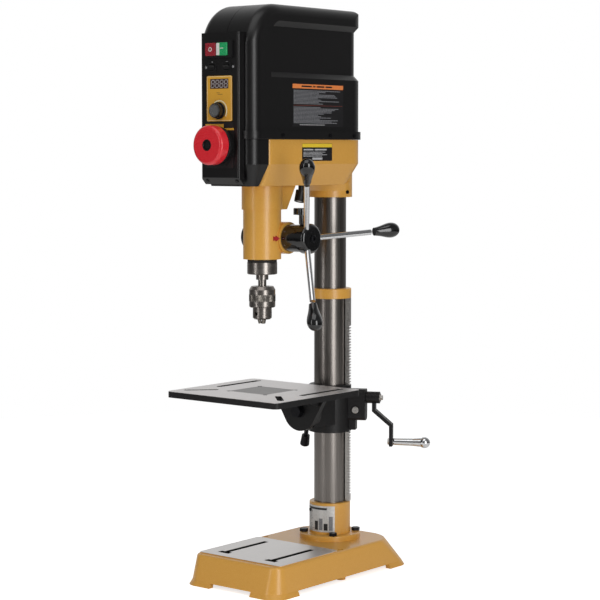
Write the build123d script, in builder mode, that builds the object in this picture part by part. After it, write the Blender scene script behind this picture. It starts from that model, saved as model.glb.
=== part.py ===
"""Bench drill press with a rack-and-crank table, a sprung quill and a belt-driven spindle.

Millimetres, +Z up. The origin is on the bench plane, midway between the two bench-bolt
holes. X = 0 is the middle plane, +X is the feed-handle side and the front faces -Y.
"""

import os
from math import atan2, cos, degrees, radians, sin, sqrt, tan

from build123d import *

# ---- Driving dimensions -------------------------------------------------------------

running_gap = 0.05  # radial clearance of a shaft in its bearing
clear_gap = 0.4  # gap between curved faces of parts that move past each other

# Main layout
column_y = 95.0
column_diameter = 70.0
column_wall = 5.0
column_bottom = 70.0
column_top = 940.0
throat = 231.0  # spindle axis to column axis
spindle_y = column_y - throat

# Base casting
base_width = 252.0
base_front = -241.0
base_rear = 216.0
base_corner = 35.0
foot_flare = 5.0
foot_height = 11.0
foot_length = 70.0
deck_top = 65.0
deck_inset = 9.0
deck_front_inset = 14.0
deck_rear_inset = 30.0
deck_front_corner = 22.0
deck_rear_corner = 68.0
base_wall = 8.0
plate_half_width = 113.0
plate_front = -214.0
plate_rear = -18.0
plate_raise = 2.0
slot_x = 64.5
slot_front = -191.0
slot_rear = -47.0
slot_width = 13.0
slot_foot_width = 23.0
slot_foot_height = 8.0
slot_depth = 18.0
slot_entry_width = 30.0
slot_entry_length = 14.0
bench_bolt_x = 105.5
bench_bolt_diameter = 11.0
bench_pillar_radius = 10.0

# Column flange and its bolts
flange_radius = 67.0
flange_height = 12.0
socket_radius = 45.25
socket_top = 146.0
flange_bolt_circle = 116.0
flange_bolt_diameter = 10.0
flange_bolt_across_flats = 16.0
flange_bolt_head = 7.0
flange_bolt_reach = 25.0

# Rack and the ring that holds its top end
rack_angle = 28.0  # from +X towards +Y
rack_module = 2.0
rack_back = column_diameter / 2 + 0.7
rack_pitch_line = 43.7
rack_width = 18.0
rack_bottom = socket_top + 0.5
rack_top = 597.5
rack_plain_end = 12.0
rack_teeth = 60
ring_radius = 46.5
ring_bottom = 598.0
ring_top = 620.0
rack_tongue = 6.0
rack_tongue_depth = 4.8

# Table bracket
bracket_radius = 47.0
bracket_bottom = 303.0
bracket_top = 407.0
gearbox_reach = 81.0
gearbox_half_width = 17.5
gearbox_bottom = 328.0
gearbox_top = 397.0
lug_reach = 59.0
lug_bottom = 307.0
gear_teeth = 16
gear_width = 12.0
gear_z = 352.0
gear_axle_radius = 5.0
worm_pitch_radius = 10.5
worm_root_radius = 7.9
worm_tip_radius = 12.2
worm_turns = 3
worm_shaft_radius = 6.0
arm_half_width = 30.0
arm_bottom = 322.0
arm_top = 396.0
tilt_z = 358.0
tilt_face_y = -0.5
tilt_flange_radius = 44.0
tilt_flange_thickness = 14.0
tilt_bolt_diameter = 16.0
tilt_bolt_across_flats = 24.0

# Crank
crank_hub_start = 81.6
crank_hub_end = 111.6
crank_hub_radius = 13.0
crank_drop = 97.0
crank_offset = 38.0
crank_arm_width = 20.0
crank_arm_thickness = 7.0
grip_length = 82.0
grip_neck_radius = 7.0
grip_end_radius = 12.5

# Table
table_half_width = 152.0
table_front = -272.0
table_rear = 10.0
table_top = 415.0
table_thickness = 13.0
table_corner = 13.0
table_rim_width = 9.0
insert_size = 100.0
insert_depth = 6.0
insert_corner_relief = 5.0
table_slot_width = 14.0
table_slot_x = 115.0
table_slot_front = -150.0
table_slot_rear = -8.0
trunnion_half_top = 78.0
trunnion_thickness = 13.0

# Head casting and quill barrel
head_half_width = 74.0
head_rear = 126.5
head_rear_corner = 42.0
head_front = -201.0
head_seam = 944.0
head_crease = 893.0
head_bottom = 848.0
head_bottom_half_width = 52.0
head_bottom_rear = 110.0
head_wall = 6.0
column_socket_radius = 48.0
column_socket_bottom = 820.0
barrel_radius = 40.0
barrel_bottom = 694.0
barrel_shoulder = 798.0
barrel_upper_radius = 43.0
quill_guide_top = 868.0
feed_z = 738.0
feed_boss_radius = 33.6
feed_boss_reach = 43.0

# Quill, spindle and chuck
quill_radius = 27.0
quill_bore = 12.0
quill_collar_radius = 31.6
quill_collar_top = 687.0
quill_bottom = 662.0
quill_top = 866.0
quill_travel = 110.0
feed_module = 1.5
feed_pinion_teeth = 16
quill_rack_flat = 26.0
bearing_radius = 20.0
bearing_width = 12.0
spindle_radius = 8.5
spindle_nose_radius = 13.0
spindle_nose_bottom = 650.5
spindle_top = 1045.0
spline_groove = 3.0
spline_depth = 1.2
chuck_arbor_radius = 8.7
chuck_top = 637.0
chuck_core_radius = 23.4
chuck_sleeve_radius = 27.5
chuck_sleeve_bottom = 592.0
chuck_nose_radius = 20.0
chuck_nose_bottom = 567.0
chuck_key_hole = 8.0
chuck_key_z = 579.5
jaw_tip_z = 557.5
jaw_tilt = 15.0
jaw_radius = 3.6
jaw_length = 28.0
jaw_tip_offset = 4.4

# Feed shaft, dial and handles
feed_shaft_radius = 12.0
dial_start = 43.4
dial_end = 85.0
dial_radius = 28.5
hub_end = 107.5
hub_radius = 31.5
spoke_cross_x = 89.5
spoke_tilt = 25.2
spoke_radius = 6.0
spoke_reach = 200.0
spoke_first_angle = 4.5
knob_length = 60.0
knob_radius = 16.0
spring_cap_radius = 29.0
spring_cap_depth = 24.5

# Head cover
cover_front = -252.0
cover_bottom = 944.5
cover_top = 1221.0
cover_front_arc = 90.0
cover_rear_arc = 26.0
cover_front_corner = 24.0
cover_edge = 22.0
cover_wall = 3.0
lip_height = 17.0
lip_reach = 5.0
seam_width = 0.9
seam_depth = 0.6
waist_bottom = 1070.0
waist_top = 1187.0
waist_slope = 12.0
waist_depth = 10.0
waist_front = -194.0
waist_corner = 35.0

# Control box
box_half_width = 51.6
box_front = -268.9
box_top = 1160.0
box_bottom = 852.0
box_slant = 14.0
box_wall = 3.0

os.makedirs("parts", exist_ok=True)


# ---- Small tools --------------------------------------------------------------------


def save(piece, name):
    """Label a finished piece and write it as its own STEP file."""
    piece.part.label = name
    export_step(piece.part, f"parts/{name}.step")


def xy(height):
    """Level plane at a height, facing up."""
    return Plane.XY.offset(height)


def xz(depth):
    """Upright plane at Y = depth, facing the front."""
    return Plane.XZ.offset(-depth)


def yz(side):
    """Upright plane at X = side, facing the handle side."""
    return Plane.YZ.offset(side)


rack_direction = Vector(cos(radians(rack_angle)), sin(radians(rack_angle)), 0)
rack_tangent = Vector(-sin(radians(rack_angle)), cos(radians(rack_angle)), 0)
column_foot = Vector(0, column_y, 0)


def radial_plane(reach):
    """Upright plane facing outward along the rack, at a distance from the column axis."""
    return Plane(column_foot + rack_direction * reach, x_dir=rack_tangent, z_dir=rack_direction)


# Upright plane through the rack's middle: local x runs outward and local y runs up.
side_plane = Plane(column_foot, x_dir=rack_direction, z_dir=-rack_tangent)


def plan_outline(half_width, front, rear, front_corner, rear_corner):
    """Rectangle seen from above, with one corner radius at the front and one behind."""
    with BuildSketch(mode=Mode.PRIVATE) as outline:
        with Locations((0, (front + rear) / 2)):
            Rectangle(2 * half_width, rear - front)
        fillet(outline.vertices().group_by(Axis.Y)[0], front_corner)
        fillet(outline.vertices().group_by(Axis.Y)[-1], rear_corner)
    return outline.sketch


def involute(angle):
    return tan(angle) - angle


def gear_outline(module, teeth, backlash):
    """Spur gear profile with 20 degree involute flanks and one tooth on the local x axis."""
    pressure = radians(20)
    pitch_radius = module * teeth / 2
    base_radius = pitch_radius * cos(pressure)
    root_radius = pitch_radius - 1.25 * module
    tip_radius = pitch_radius + 0.95 * module
    flank = [base_radius, pitch_radius, tip_radius]
    points = []
    for tooth in range(teeth):
        middle = radians(360 / teeth * tooth)
        half_at_pitch = radians(90) / teeth - backlash / 2 / pitch_radius
        halves = []
        for radius in flank:
            roll = sqrt(max((radius / base_radius) ** 2 - 1, 0))
            halves.append(half_at_pitch + involute(pressure) - (roll - atan2(roll, 1)))
        rising = [(root_radius, -halves[0])] + [(r, -h) for r, h in zip(flank, halves)]
        falling = [(r, -a) for r, a in reversed(rising)]
        for radius, angle in rising + falling:
            points.append((radius * cos(middle + angle), radius * sin(middle + angle)))
    return points


def rack_steps(module, first_space, spaces, root, tip):
    """Points along a rack's toothed edge: (distance along, height) pairs, one per bend."""
    pitch = 3.14159265 * module
    slope = tan(radians(20))
    half_open = pitch / 4 + module * slope
    half_root = pitch / 4 - 1.25 * module * slope
    steps = []
    for space in range(spaces):
        middle = first_space + space * pitch
        steps += [(middle - half_open, tip), (middle - half_root, root)]
        steps += [(middle + half_root, root), (middle + half_open, tip)]
    return steps


def hex_head(across_flats):
    """Hexagon radius that gives this size across the flats."""
    return across_flats / sqrt(3)


# ---- Base ---------------------------------------------------------------------------
# One iron casting: a deck on drafted walls, hollow below, with four spread feet.


def base_outline(grow, rise, wall=0.0):
    """Outline of the base at a height between the foot line (0) and the deck (1)."""
    return plan_outline(
        base_width / 2 + grow - deck_inset * rise - wall,
        base_front - grow + deck_front_inset * rise + wall,
        base_rear + grow - deck_rear_inset * rise - wall,
        base_corner + (deck_front_corner - base_corner) * rise - wall / 2,
        base_corner + (deck_rear_corner - base_corner) * rise - wall / 2,
    )


plate_top = deck_top + plate_raise
flange_bolt_angles = 45.0
with BuildPart() as base:
    with BuildSketch(xy(0)):
        add(base_outline(foot_flare, 0))
    with BuildSketch(xy(foot_height)):
        add(base_outline(0, 0))
    loft()
    with BuildSketch(xy(foot_height)):
        add(base_outline(0, 0))
    with BuildSketch(xy(deck_top)):
        add(base_outline(0, 1))
    loft()
    fillet(base.faces().sort_by(Axis.Z)[-1].edges(), 6)
    with BuildSketch(xy(0)):
        add(base_outline(0, 0, base_wall))
    with BuildSketch(xy(deck_top - base_wall)):
        add(base_outline(0, 1, base_wall))
    loft(mode=Mode.SUBTRACT)
    # Lifted edges between the feet
    with BuildSketch(xz(0)):
        with Locations((0, 0)):
            Rectangle(base_width - 2 * foot_length, 2 * (foot_height - 1))
    extrude(amount=2 * base_rear, both=True, mode=Mode.SUBTRACT)
    with BuildSketch(yz(0)):
        with Locations(((base_front + base_rear) / 2, 0)):
            Rectangle(base_rear - base_front - 2 * foot_length, 2 * (foot_height - 1))
    extrude(amount=base_width, both=True, mode=Mode.SUBTRACT)
    # Ground working face, the pads below its slots, and the bolt pillars
    with BuildSketch(xy(deck_top - 1)):
        with Locations((0, (plate_front + plate_rear) / 2)):
            RectangleRounded(2 * plate_half_width, plate_rear - plate_front, 8)
    extrude(amount=1 + plate_raise)
    slot_floor = plate_top - slot_depth
    with BuildSketch(xy(slot_floor - 6)):
        with Locations(*[(side * slot_x, (slot_front + slot_rear) / 2) for side in (-1, 1)]):
            Rectangle(slot_foot_width + 16, slot_rear - slot_front + 16)
    extrude(amount=deck_top - 1 - slot_floor + 6)
    with BuildSketch(xy(0)):
        with Locations((-bench_bolt_x, 0), (bench_bolt_x, 0)):
            Circle(bench_pillar_radius)
    extrude(amount=deck_top - 1)
    with BuildSketch(xy(deck_top - flange_bolt_reach - 12)):
        with Locations(column_foot):
            with PolarLocations(flange_bolt_circle / 2, 4, start_angle=flange_bolt_angles):
                Circle(11)
    extrude(amount=flange_bolt_reach + 11)
    # Slots, entries and holes
    with BuildSketch(xy(slot_floor)):
        for side in (-1, 1):
            with Locations((side * slot_x, (slot_front + slot_rear) / 2)):
                Rectangle(slot_width, slot_rear - slot_front)
            with Locations((side * slot_x, slot_front + slot_entry_length / 2)):
                Rectangle(slot_entry_width, slot_entry_length)
    extrude(amount=slot_depth, mode=Mode.SUBTRACT)
    with BuildSketch(xy(slot_floor)):
        with Locations(*[(side * slot_x, (slot_front + slot_rear) / 2) for side in (-1, 1)]):
            Rectangle(slot_foot_width, slot_rear - slot_front)
    extrude(amount=slot_foot_height, mode=Mode.SUBTRACT)
    with Locations((-bench_bolt_x, 0, deck_top), (bench_bolt_x, 0, deck_top)):
        Hole(bench_bolt_diameter / 2, deck_top)
    with Locations(Location((0, column_y, deck_top))):
        with PolarLocations(flange_bolt_circle / 2, 4, start_angle=flange_bolt_angles):
            Hole(flange_bolt_diameter / 2, flange_bolt_reach + flange_height)
save(base, "base")

# ---- Column, its flange and fasteners ------------------------------------------------

set_screw_z = 128.0
set_screw_radius = 4.0
set_screw_angle = -120.0


def set_screw_plane(height, angle):
    """Plane through the column axis at a height, facing out at an angle from +X."""
    outward = Vector(cos(radians(angle)), sin(radians(angle)), 0)
    return Plane(column_foot + Vector(0, 0, height), z_dir=outward)


with BuildPart() as column_flange:
    with BuildSketch(xy(deck_top)):
        with Locations((0, column_y)):
            Circle(flange_radius)
    extrude(amount=flange_height)
    fillet(column_flange.faces().sort_by(Axis.Z)[-1].edges(), 3)
    with BuildSketch(xy(deck_top)):
        with Locations((0, column_y)):
            Circle(socket_radius)
    extrude(amount=socket_top - deck_top)
    fillet(column_flange.faces().sort_by(Axis.Z)[-1].edges(), 2)
    with BuildSketch(xy(column_bottom)):
        with Locations((0, column_y)):
            Circle(column_diameter / 2)
    extrude(amount=socket_top, mode=Mode.SUBTRACT)
    with Locations(Location((0, column_y, deck_top + flange_height))):
        with PolarLocations(flange_bolt_circle / 2, 4, start_angle=flange_bolt_angles):
            Hole(flange_bolt_diameter / 2 + 0.25, flange_height)
    with BuildSketch(set_screw_plane(set_screw_z, set_screw_angle)):
        Circle(set_screw_radius)
    extrude(amount=flange_radius, mode=Mode.SUBTRACT)
save(column_flange, "column_flange")

with BuildPart() as flange_bolts:
    bolt_seat = deck_top + flange_height
    with BuildSketch(xy(bolt_seat)):
        with Locations((0, column_y)):
            with PolarLocations(flange_bolt_circle / 2, 4, start_angle=flange_bolt_angles):
                RegularPolygon(hex_head(flange_bolt_across_flats), 6)
    extrude(amount=flange_bolt_head)
    with BuildSketch(xy(bolt_seat)):
        with Locations((0, column_y)):
            with PolarLocations(flange_bolt_circle / 2, 4, start_angle=flange_bolt_angles):
                Circle(flange_bolt_diameter / 2)
    extrude(amount=-flange_bolt_reach)
save(flange_bolts, "flange_bolts")

with BuildPart() as column:
    with BuildSketch(xy(column_bottom)):
        with Locations((0, column_y)):
            Circle(column_diameter / 2)
            Circle(column_diameter / 2 - column_wall, mode=Mode.SUBTRACT)
    extrude(amount=column_top - column_bottom)
save(column, "column")

# ---- Rack and the ring that holds it -------------------------------------------------

rack_pitch = 3.14159265 * rack_module
spaces_below = int((gear_z - rack_bottom - rack_plain_end) / rack_pitch - 0.5)
rack_tip_line = rack_pitch_line + rack_module * 0.95
rack_root_line = rack_pitch_line - rack_module * 1.25
first_rack_space = gear_z - spaces_below * rack_pitch
with BuildPart() as rack:
    with BuildSketch(side_plane):
        with BuildLine():
            edge = [(rack_back, rack_bottom), (rack_tip_line, rack_bottom)]
            teeth = rack_steps(
                rack_module, first_rack_space, rack_teeth, rack_root_line, rack_tip_line
            )
            edge += [(out, along) for along, out in teeth]
            edge += [(rack_tip_line, rack_top), (rack_back + rack_tongue_depth, rack_top)]
            edge += [
                (rack_back + rack_tongue_depth, rack_top + rack_tongue),
                (rack_back, rack_top + rack_tongue),
            ]
            Polyline(*edge, close=True)
        make_face()
    extrude(amount=rack_width / 2, both=True)
save(rack, "rack")

with BuildPart() as rack_ring:
    with BuildSketch(xy(ring_bottom)):
        with Locations((0, column_y)):
            Circle(ring_radius)
    extrude(amount=ring_top - ring_bottom)
    fillet(rack_ring.edges().group_by(Axis.Z)[-1], 2.5)
    fillet(rack_ring.edges().group_by(Axis.Z)[0], 1)
    with BuildSketch(xy(ring_bottom)):
        with Locations((0, column_y)):
            Circle(column_diameter / 2)
    extrude(amount=ring_top - ring_bottom, mode=Mode.SUBTRACT)
    tongue_corner = sqrt((rack_back + rack_tongue_depth) ** 2 + (rack_width / 2) ** 2)
    with BuildSketch(xy(ring_bottom)):
        with Locations((0, column_y)):
            Circle(tongue_corner + clear_gap)
    extrude(amount=rack_tongue + 0.5, mode=Mode.SUBTRACT)
    with BuildSketch(set_screw_plane(ring_bottom + 15, set_screw_angle)):
        Circle(set_screw_radius)
    extrude(amount=flange_radius, mode=Mode.SUBTRACT)
save(rack_ring, "rack_ring")

# ---- Table bracket -------------------------------------------------------------------
# A split collar on the column, a gearbox on the rack side and an arm to the tilt face.

worm_z = gear_z + rack_module * gear_teeth / 2 + worm_pitch_radius
gear_reach = rack_pitch_line + rack_module * gear_teeth / 2
gear_tip_radius = rack_module * gear_teeth / 2 + 0.95 * rack_module
clamp_angle = 150.0
clamp_z = (bracket_bottom + bracket_top) / 2
clamp_reach = 58.0
clamp_half_length = 15.0
clamp_split = 3.0
clamp_screw_radius = 6.0
clamp_out = Vector(cos(radians(clamp_angle)), sin(radians(clamp_angle)), 0)
clamp_across = Vector(-sin(radians(clamp_angle)), cos(radians(clamp_angle)), 0)


def clamp_plane(offset):
    """Plane across the clamp's ears: local x runs outward, local y runs up."""
    return Plane(column_foot + clamp_across * offset, x_dir=clamp_out, z_dir=clamp_across * -1)


with BuildPart() as table_bracket:
    with BuildSketch(xy(bracket_bottom)):
        with Locations((0, column_y)):
            Circle(bracket_radius)
    extrude(amount=bracket_top - bracket_bottom)
    chamfer(table_bracket.edges().group_by(Axis.Z)[-1], 2)
    with BuildSketch(radial_plane(20)):
        with Locations((0, (gearbox_bottom + gearbox_top) / 2)):
            RectangleRounded(2 * gearbox_half_width, gearbox_top - gearbox_bottom, 10)
    extrude(amount=gearbox_reach - 20)
    with BuildSketch(radial_plane(20)):
        with Locations((0, (lug_bottom + gearbox_bottom) / 2 + 5)):
            Rectangle(26, gearbox_bottom - lug_bottom + 10)
    extrude(amount=lug_reach - 20)
    # Ears of the split clamp
    with BuildSketch(clamp_plane(0)):
        with Locations((50, clamp_z)):
            RectangleRounded(44, 36, 8)
    extrude(amount=clamp_half_length, both=True)
    # Arm and the round tilt face
    with BuildSketch(xy(arm_bottom)):
        with BuildLine():
            Polyline(
                (-arm_half_width, tilt_face_y + 2),
                (arm_half_width, tilt_face_y + 2),
                (arm_half_width + 8, column_y - 30),
                (-arm_half_width - 8, column_y - 30),
                close=True,
            )
        make_face()
    extrude(amount=arm_top - arm_bottom)
    with BuildSketch(xz(0)):
        with Locations((0, tilt_z + table_thickness + tilt_flange_radius)):
            Circle(tilt_flange_radius + table_thickness + 3)
    extrude(amount=-14, mode=Mode.SUBTRACT)
    with BuildSketch(xz(tilt_face_y)):
        with Locations((0, tilt_z)):
            Circle(tilt_flange_radius - 2)
    extrude(amount=-tilt_flange_thickness)
    with BuildSketch(xz(tilt_face_y)):
        with Locations((0, tilt_z)):
            Circle(tilt_bolt_diameter / 2)
    extrude(amount=-2 * tilt_flange_thickness, mode=Mode.SUBTRACT)
    # Column bore, rack channel, gear and worm chambers
    with BuildSketch(xy(bracket_bottom)):
        with Locations((0, column_y)):
            Circle(column_diameter / 2 + running_gap)
    extrude(amount=bracket_top - bracket_bottom, mode=Mode.SUBTRACT)
    with BuildSketch(radial_plane(20)):
        with Locations((0, (bracket_bottom + bracket_top) / 2)):
            Rectangle(rack_width + 2 * clear_gap, 2 * (bracket_top - bracket_bottom))
    extrude(amount=rack_tip_line + 1 - 20, mode=Mode.SUBTRACT)
    with BuildSketch(side_plane):
        with Locations((gear_reach, gear_z)):
            Circle(gear_tip_radius + 1)
    extrude(amount=gear_width / 2 + 0.5, both=True, mode=Mode.SUBTRACT)
    with BuildSketch(side_plane):
        with Locations((gear_reach, gear_z)):
            Circle(gear_axle_radius)
    extrude(amount=gearbox_half_width + 1, both=True, mode=Mode.SUBTRACT)
    with BuildSketch(radial_plane(rack_tip_line)):
        with Locations((0, worm_z)):
            Circle(worm_tip_radius + 0.8)
    extrude(amount=gearbox_reach - 9 - rack_tip_line, mode=Mode.SUBTRACT)
    with BuildSketch(radial_plane(rack_tip_line)):
        with Locations((0, worm_z)):
            Circle(worm_shaft_radius + running_gap)
    extrude(amount=gearbox_reach, mode=Mode.SUBTRACT)
    # Split and clamp screw hole
    with BuildSketch(clamp_plane(0)):
        with Locations((50, clamp_z)):
            Rectangle(60, 2 * (bracket_top - bracket_bottom))
    extrude(amount=clamp_split / 2, both=True, mode=Mode.SUBTRACT)
    with BuildSketch(clamp_plane(0)):
        with Locations((clamp_reach, clamp_z)):
            Circle(clamp_screw_radius)
    extrude(amount=clamp_half_length + 1, both=True, mode=Mode.SUBTRACT)
save(table_bracket, "table_bracket")

with BuildPart() as table_lock_lever:
    # A bent steel rod with its own threaded boss, square to the clamp ears
    boss_length = 26.0
    with BuildSketch(clamp_plane(clamp_half_length + 1)):
        with Locations((clamp_reach, clamp_z)):
            Circle(9)
    extrude(amount=-boss_length + 8)
    with BuildSketch(clamp_plane(clamp_half_length + 1)):
        with Locations((clamp_reach, clamp_z)):
            Circle(clamp_screw_radius - running_gap)
    extrude(amount=2 * clamp_half_length - 6)
    lever_start = column_foot + clamp_across * (clamp_half_length + 10) + clamp_out * clamp_reach
    lever_plane = Plane(
        lever_start + Vector(0, 0, clamp_z),
        x_dir=clamp_across,
        z_dir=clamp_out * 0.35 + Vector(0, 0, -1),
    )
    with BuildSketch(lever_plane.offset(5)):
        Circle(5)
    extrude(amount=75)
    with BuildSketch(lever_plane.offset(78)):
        Circle(9)
    extrude(amount=26, taper=-4)
    fillet(table_lock_lever.faces().sort_by(Axis.Z)[0].edges(), 4)
save(table_lock_lever, "table_lock_lever")

with BuildPart() as lift_gear:
    with BuildSketch(side_plane):
        with Locations((gear_reach, gear_z)):
            Polygon(*gear_outline(rack_module, gear_teeth, 0.25), align=None)
            Circle(gear_axle_radius + running_gap, mode=Mode.SUBTRACT)
    extrude(amount=gear_width / 2, both=True)
save(lift_gear, "lift_gear")

with BuildPart() as gear_axle:
    with BuildSketch(side_plane.offset(gearbox_half_width)):
        with Locations((gear_reach, gear_z)):
            Circle(gear_axle_radius)
    extrude(amount=-2 * gearbox_half_width)
    with BuildSketch(side_plane.offset(gearbox_half_width)):
        with Locations((gear_reach, gear_z)):
            Circle(gear_axle_radius + 2.5)
    extrude(amount=3)
    fillet(gear_axle.edges().group_by(Axis(side_plane.origin, side_plane.z_dir))[-1], 1)
    with BuildSketch(side_plane.offset(gearbox_half_width + 3)):
        with Locations((gear_reach, gear_z)):
            Rectangle(20, 1.6, rotation=35)
    extrude(amount=-1.2, mode=Mode.SUBTRACT)
save(gear_axle, "gear_axle")

worm_length = worm_turns * rack_pitch
worm_start = gear_reach - worm_length / 2
worm_plane = Plane(
    column_foot + rack_direction * worm_start + Vector(0, 0, worm_z),
    x_dir=Vector(0, 0, -1),
    z_dir=rack_direction,
)
thread_line = worm_plane * Helix(rack_pitch, worm_length, worm_root_radius)
with BuildPart() as worm_shaft:
    with BuildSketch(worm_plane.offset(-2)):
        Circle(worm_root_radius)
    extrude(amount=worm_length + 4)
    with BuildSketch(worm_plane):
        Circle(worm_shaft_radius)
    extrude(amount=crank_hub_end - worm_start - 2)
    with BuildSketch(Plane(thread_line @ 0, x_dir=worm_plane.x_dir, z_dir=thread_line % 0)):
        with BuildLine():
            thread_height = worm_tip_radius - worm_root_radius
            Polyline(
                (-0.6, -1.1), (thread_height, -0.55), (thread_height, 0.55), (-0.6, 1.1), close=True
            )
        make_face()
    sweep(path=thread_line, is_frenet=True)
save(worm_shaft, "worm_shaft")

# ---- Crank ---------------------------------------------------------------------------

grip_angle = degrees(atan2(crank_drop, crank_offset))
with BuildPart() as crank_arm:
    with BuildSketch(radial_plane(crank_hub_start)):
        with Locations((0, worm_z)):
            Circle(crank_hub_radius)
            Circle(worm_shaft_radius, mode=Mode.SUBTRACT)
    extrude(amount=crank_hub_end - crank_hub_start)
    # The arm leaves the hub, bends outward and ends square to the grip
    arm_heel = crank_hub_start + 14
    arm_toe = arm_heel + crank_offset
    with BuildSketch(side_plane):
        with BuildLine():
            FilletPolyline(
                (arm_heel, worm_z - crank_hub_radius + 3),
                (arm_heel, worm_z - 30),
                (arm_toe, worm_z - 62),
                (arm_toe, worm_z - crank_drop - crank_arm_width / 2),
                (arm_toe + crank_arm_thickness, worm_z - crank_drop - crank_arm_width / 2),
                (arm_toe + crank_arm_thickness, worm_z - 58),
                (arm_heel + crank_arm_thickness, worm_z - 26),
                (arm_heel + crank_arm_thickness, worm_z - crank_hub_radius + 3),
                radius=0.6,
                close=True,
            )
        make_face()
    extrude(amount=crank_arm_width / 2, both=True)
    with BuildSketch(radial_plane(arm_toe)):
        with Locations((0, worm_z - crank_drop)):
            Circle(5)
    extrude(amount=crank_arm_thickness, mode=Mode.SUBTRACT)
save(crank_arm, "crank_arm")

grip_start = arm_toe + crank_arm_thickness + 1
with BuildPart() as crank_screws:
    # The screw that holds the hub, and the bolt that the grip turns on
    with BuildSketch(radial_plane(crank_hub_end)):
        with Locations((0, worm_z)):
            Circle(9)
    extrude(amount=2)
    with BuildSketch(radial_plane(crank_hub_end + 2)):
        with Locations((0, worm_z)):
            RegularPolygon(hex_head(10), 6)
    extrude(amount=4.5)
    with BuildSketch(radial_plane(arm_toe - 4)):
        with Locations((0, worm_z - crank_drop)):
            RegularPolygon(hex_head(13), 6)
    extrude(amount=4)
    with BuildSketch(radial_plane(arm_toe)):
        with Locations((0, worm_z - crank_drop)):
            Circle(5)
    extrude(amount=crank_arm_thickness + grip_length - 8)
save(crank_screws, "crank_screws")

grip_plane = Plane(
    side_plane.from_local_coords((grip_start, worm_z - crank_drop, 0)),
    x_dir=rack_direction,
    z_dir=-rack_tangent,
)
with BuildPart() as crank_grip:
    with BuildSketch(grip_plane):
        with BuildLine():
            ball = grip_end_radius
            neck_end = grip_length - 1.6 * ball
            middle = grip_length - ball
            Polyline(
                (grip_length, 0), (0, 0), (0, grip_neck_radius), (3, grip_neck_radius + 0.6),
                (neck_end - 18, grip_neck_radius + 1.4), (neck_end, 0.8 * ball),
            )
            ThreePointArc(
                (neck_end, 0.8 * ball),
                (middle + ball * cos(radians(45)), ball * sin(radians(45))),
                (grip_length, 0),
            )
        make_face()
    revolve(axis=Axis(grip_plane.origin, rack_direction))
    with BuildSketch(radial_plane(grip_start)):
        with Locations((0, worm_z - crank_drop)):
            Circle(5 + running_gap)
    extrude(amount=grip_length - 6, mode=Mode.SUBTRACT)
save(crank_grip, "crank_grip")

# ---- Table ---------------------------------------------------------------------------

table_bottom = table_top - table_thickness
insert_clearance = 0.2
trunnion_back = tilt_face_y - 0.1
trunnion_front = trunnion_back - trunnion_thickness
trunnion_radius = tilt_flange_radius
rib_x = 52.0
with BuildPart() as table:
    with BuildSketch(xy(table_bottom)):
        add(plan_outline(table_half_width, table_front, table_rear, table_corner, table_corner))
    extrude(amount=table_thickness)
    chamfer(table.faces().sort_by(Axis.Z)[-1].edges(), 0.8)
    # Hollow underside inside a rim
    with BuildSketch(xy(table_bottom)):
        add(
            plan_outline(
                table_half_width - table_rim_width,
                table_front + table_rim_width,
                table_rear - table_rim_width,
                table_corner / 2,
                table_corner / 2,
            )
        )
        with Locations((0, spindle_y)):
            Rectangle(insert_size + 20, insert_size + 20, mode=Mode.SUBTRACT)
        Rectangle(2 * trunnion_half_top + 20, 50, mode=Mode.SUBTRACT)
    extrude(amount=table_thickness - 8, mode=Mode.SUBTRACT)
    # V-shaped trunnion plate with a round bottom, and its ribs
    with BuildSketch(xz(trunnion_back)):
        with BuildLine():
            reach = table_bottom + 1 - tilt_z
            side = atan2(trunnion_half_top, reach)
            half = side - radians(90) + atan2(
                sqrt(trunnion_half_top**2 + reach**2 - trunnion_radius**2), trunnion_radius
            )
            touch = (trunnion_radius * cos(half), tilt_z - trunnion_radius * sin(half))
            Line((-trunnion_half_top, tilt_z + reach), (trunnion_half_top, tilt_z + reach))
            Line((trunnion_half_top, tilt_z + reach), touch)
            ThreePointArc(touch, (0, tilt_z - trunnion_radius), (-touch[0], touch[1]))
            Line((-touch[0], touch[1]), (-trunnion_half_top, tilt_z + reach))
        make_face()
    extrude(amount=trunnion_thickness)
    with BuildSketch(yz(0)):
        with BuildLine():
            Polyline(
                (trunnion_front + 1, table_bottom + 1),
                (trunnion_front + 1, table_bottom - 30),
                (trunnion_front - 95, table_bottom - 4),
                (trunnion_front - 95, table_bottom + 1),
                close=True,
            )
        make_face()
    ribs = extrude(amount=4, both=True, mode=Mode.PRIVATE)
    with Locations((rib_x, 0, 0), (-rib_x, 0, 0)):
        add(ribs)
    with BuildSketch(xz(0)):
        with Locations((0, tilt_z)):
            Circle(tilt_bolt_diameter / 2 + running_gap)
    extrude(amount=40, both=True, mode=Mode.SUBTRACT)
    # Insert pocket with corner reliefs, and the opening below it
    with BuildSketch(xy(table_top - insert_depth)):
        with Locations((0, spindle_y)):
            Rectangle(insert_size, insert_size)
            with GridLocations(insert_size, insert_size, 2, 2):
                Circle(insert_corner_relief)
    extrude(amount=insert_depth, mode=Mode.SUBTRACT)
    with BuildSketch(xy(table_bottom)):
        with Locations((0, spindle_y)):
            RectangleRounded(insert_size - 26, insert_size - 26, 6)
    extrude(amount=table_thickness, mode=Mode.SUBTRACT)
    # Through slots: two straight ones behind and two diagonal ones in front
    with BuildSketch(xy(table_bottom)):
        slot_length = table_slot_rear - table_slot_front
        slot_middle = (table_slot_rear + table_slot_front) / 2
        with Locations((-table_slot_x, slot_middle), (table_slot_x, slot_middle)):
            SlotOverall(slot_length, table_slot_width, rotation=90)
        for mirror_side in (-1, 1):
            with Locations((mirror_side * 108, -209.5)):
                SlotOverall(74, table_slot_width, rotation=mirror_side * -45)
    extrude(amount=table_thickness, mode=Mode.SUBTRACT)
save(table, "table")

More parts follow.
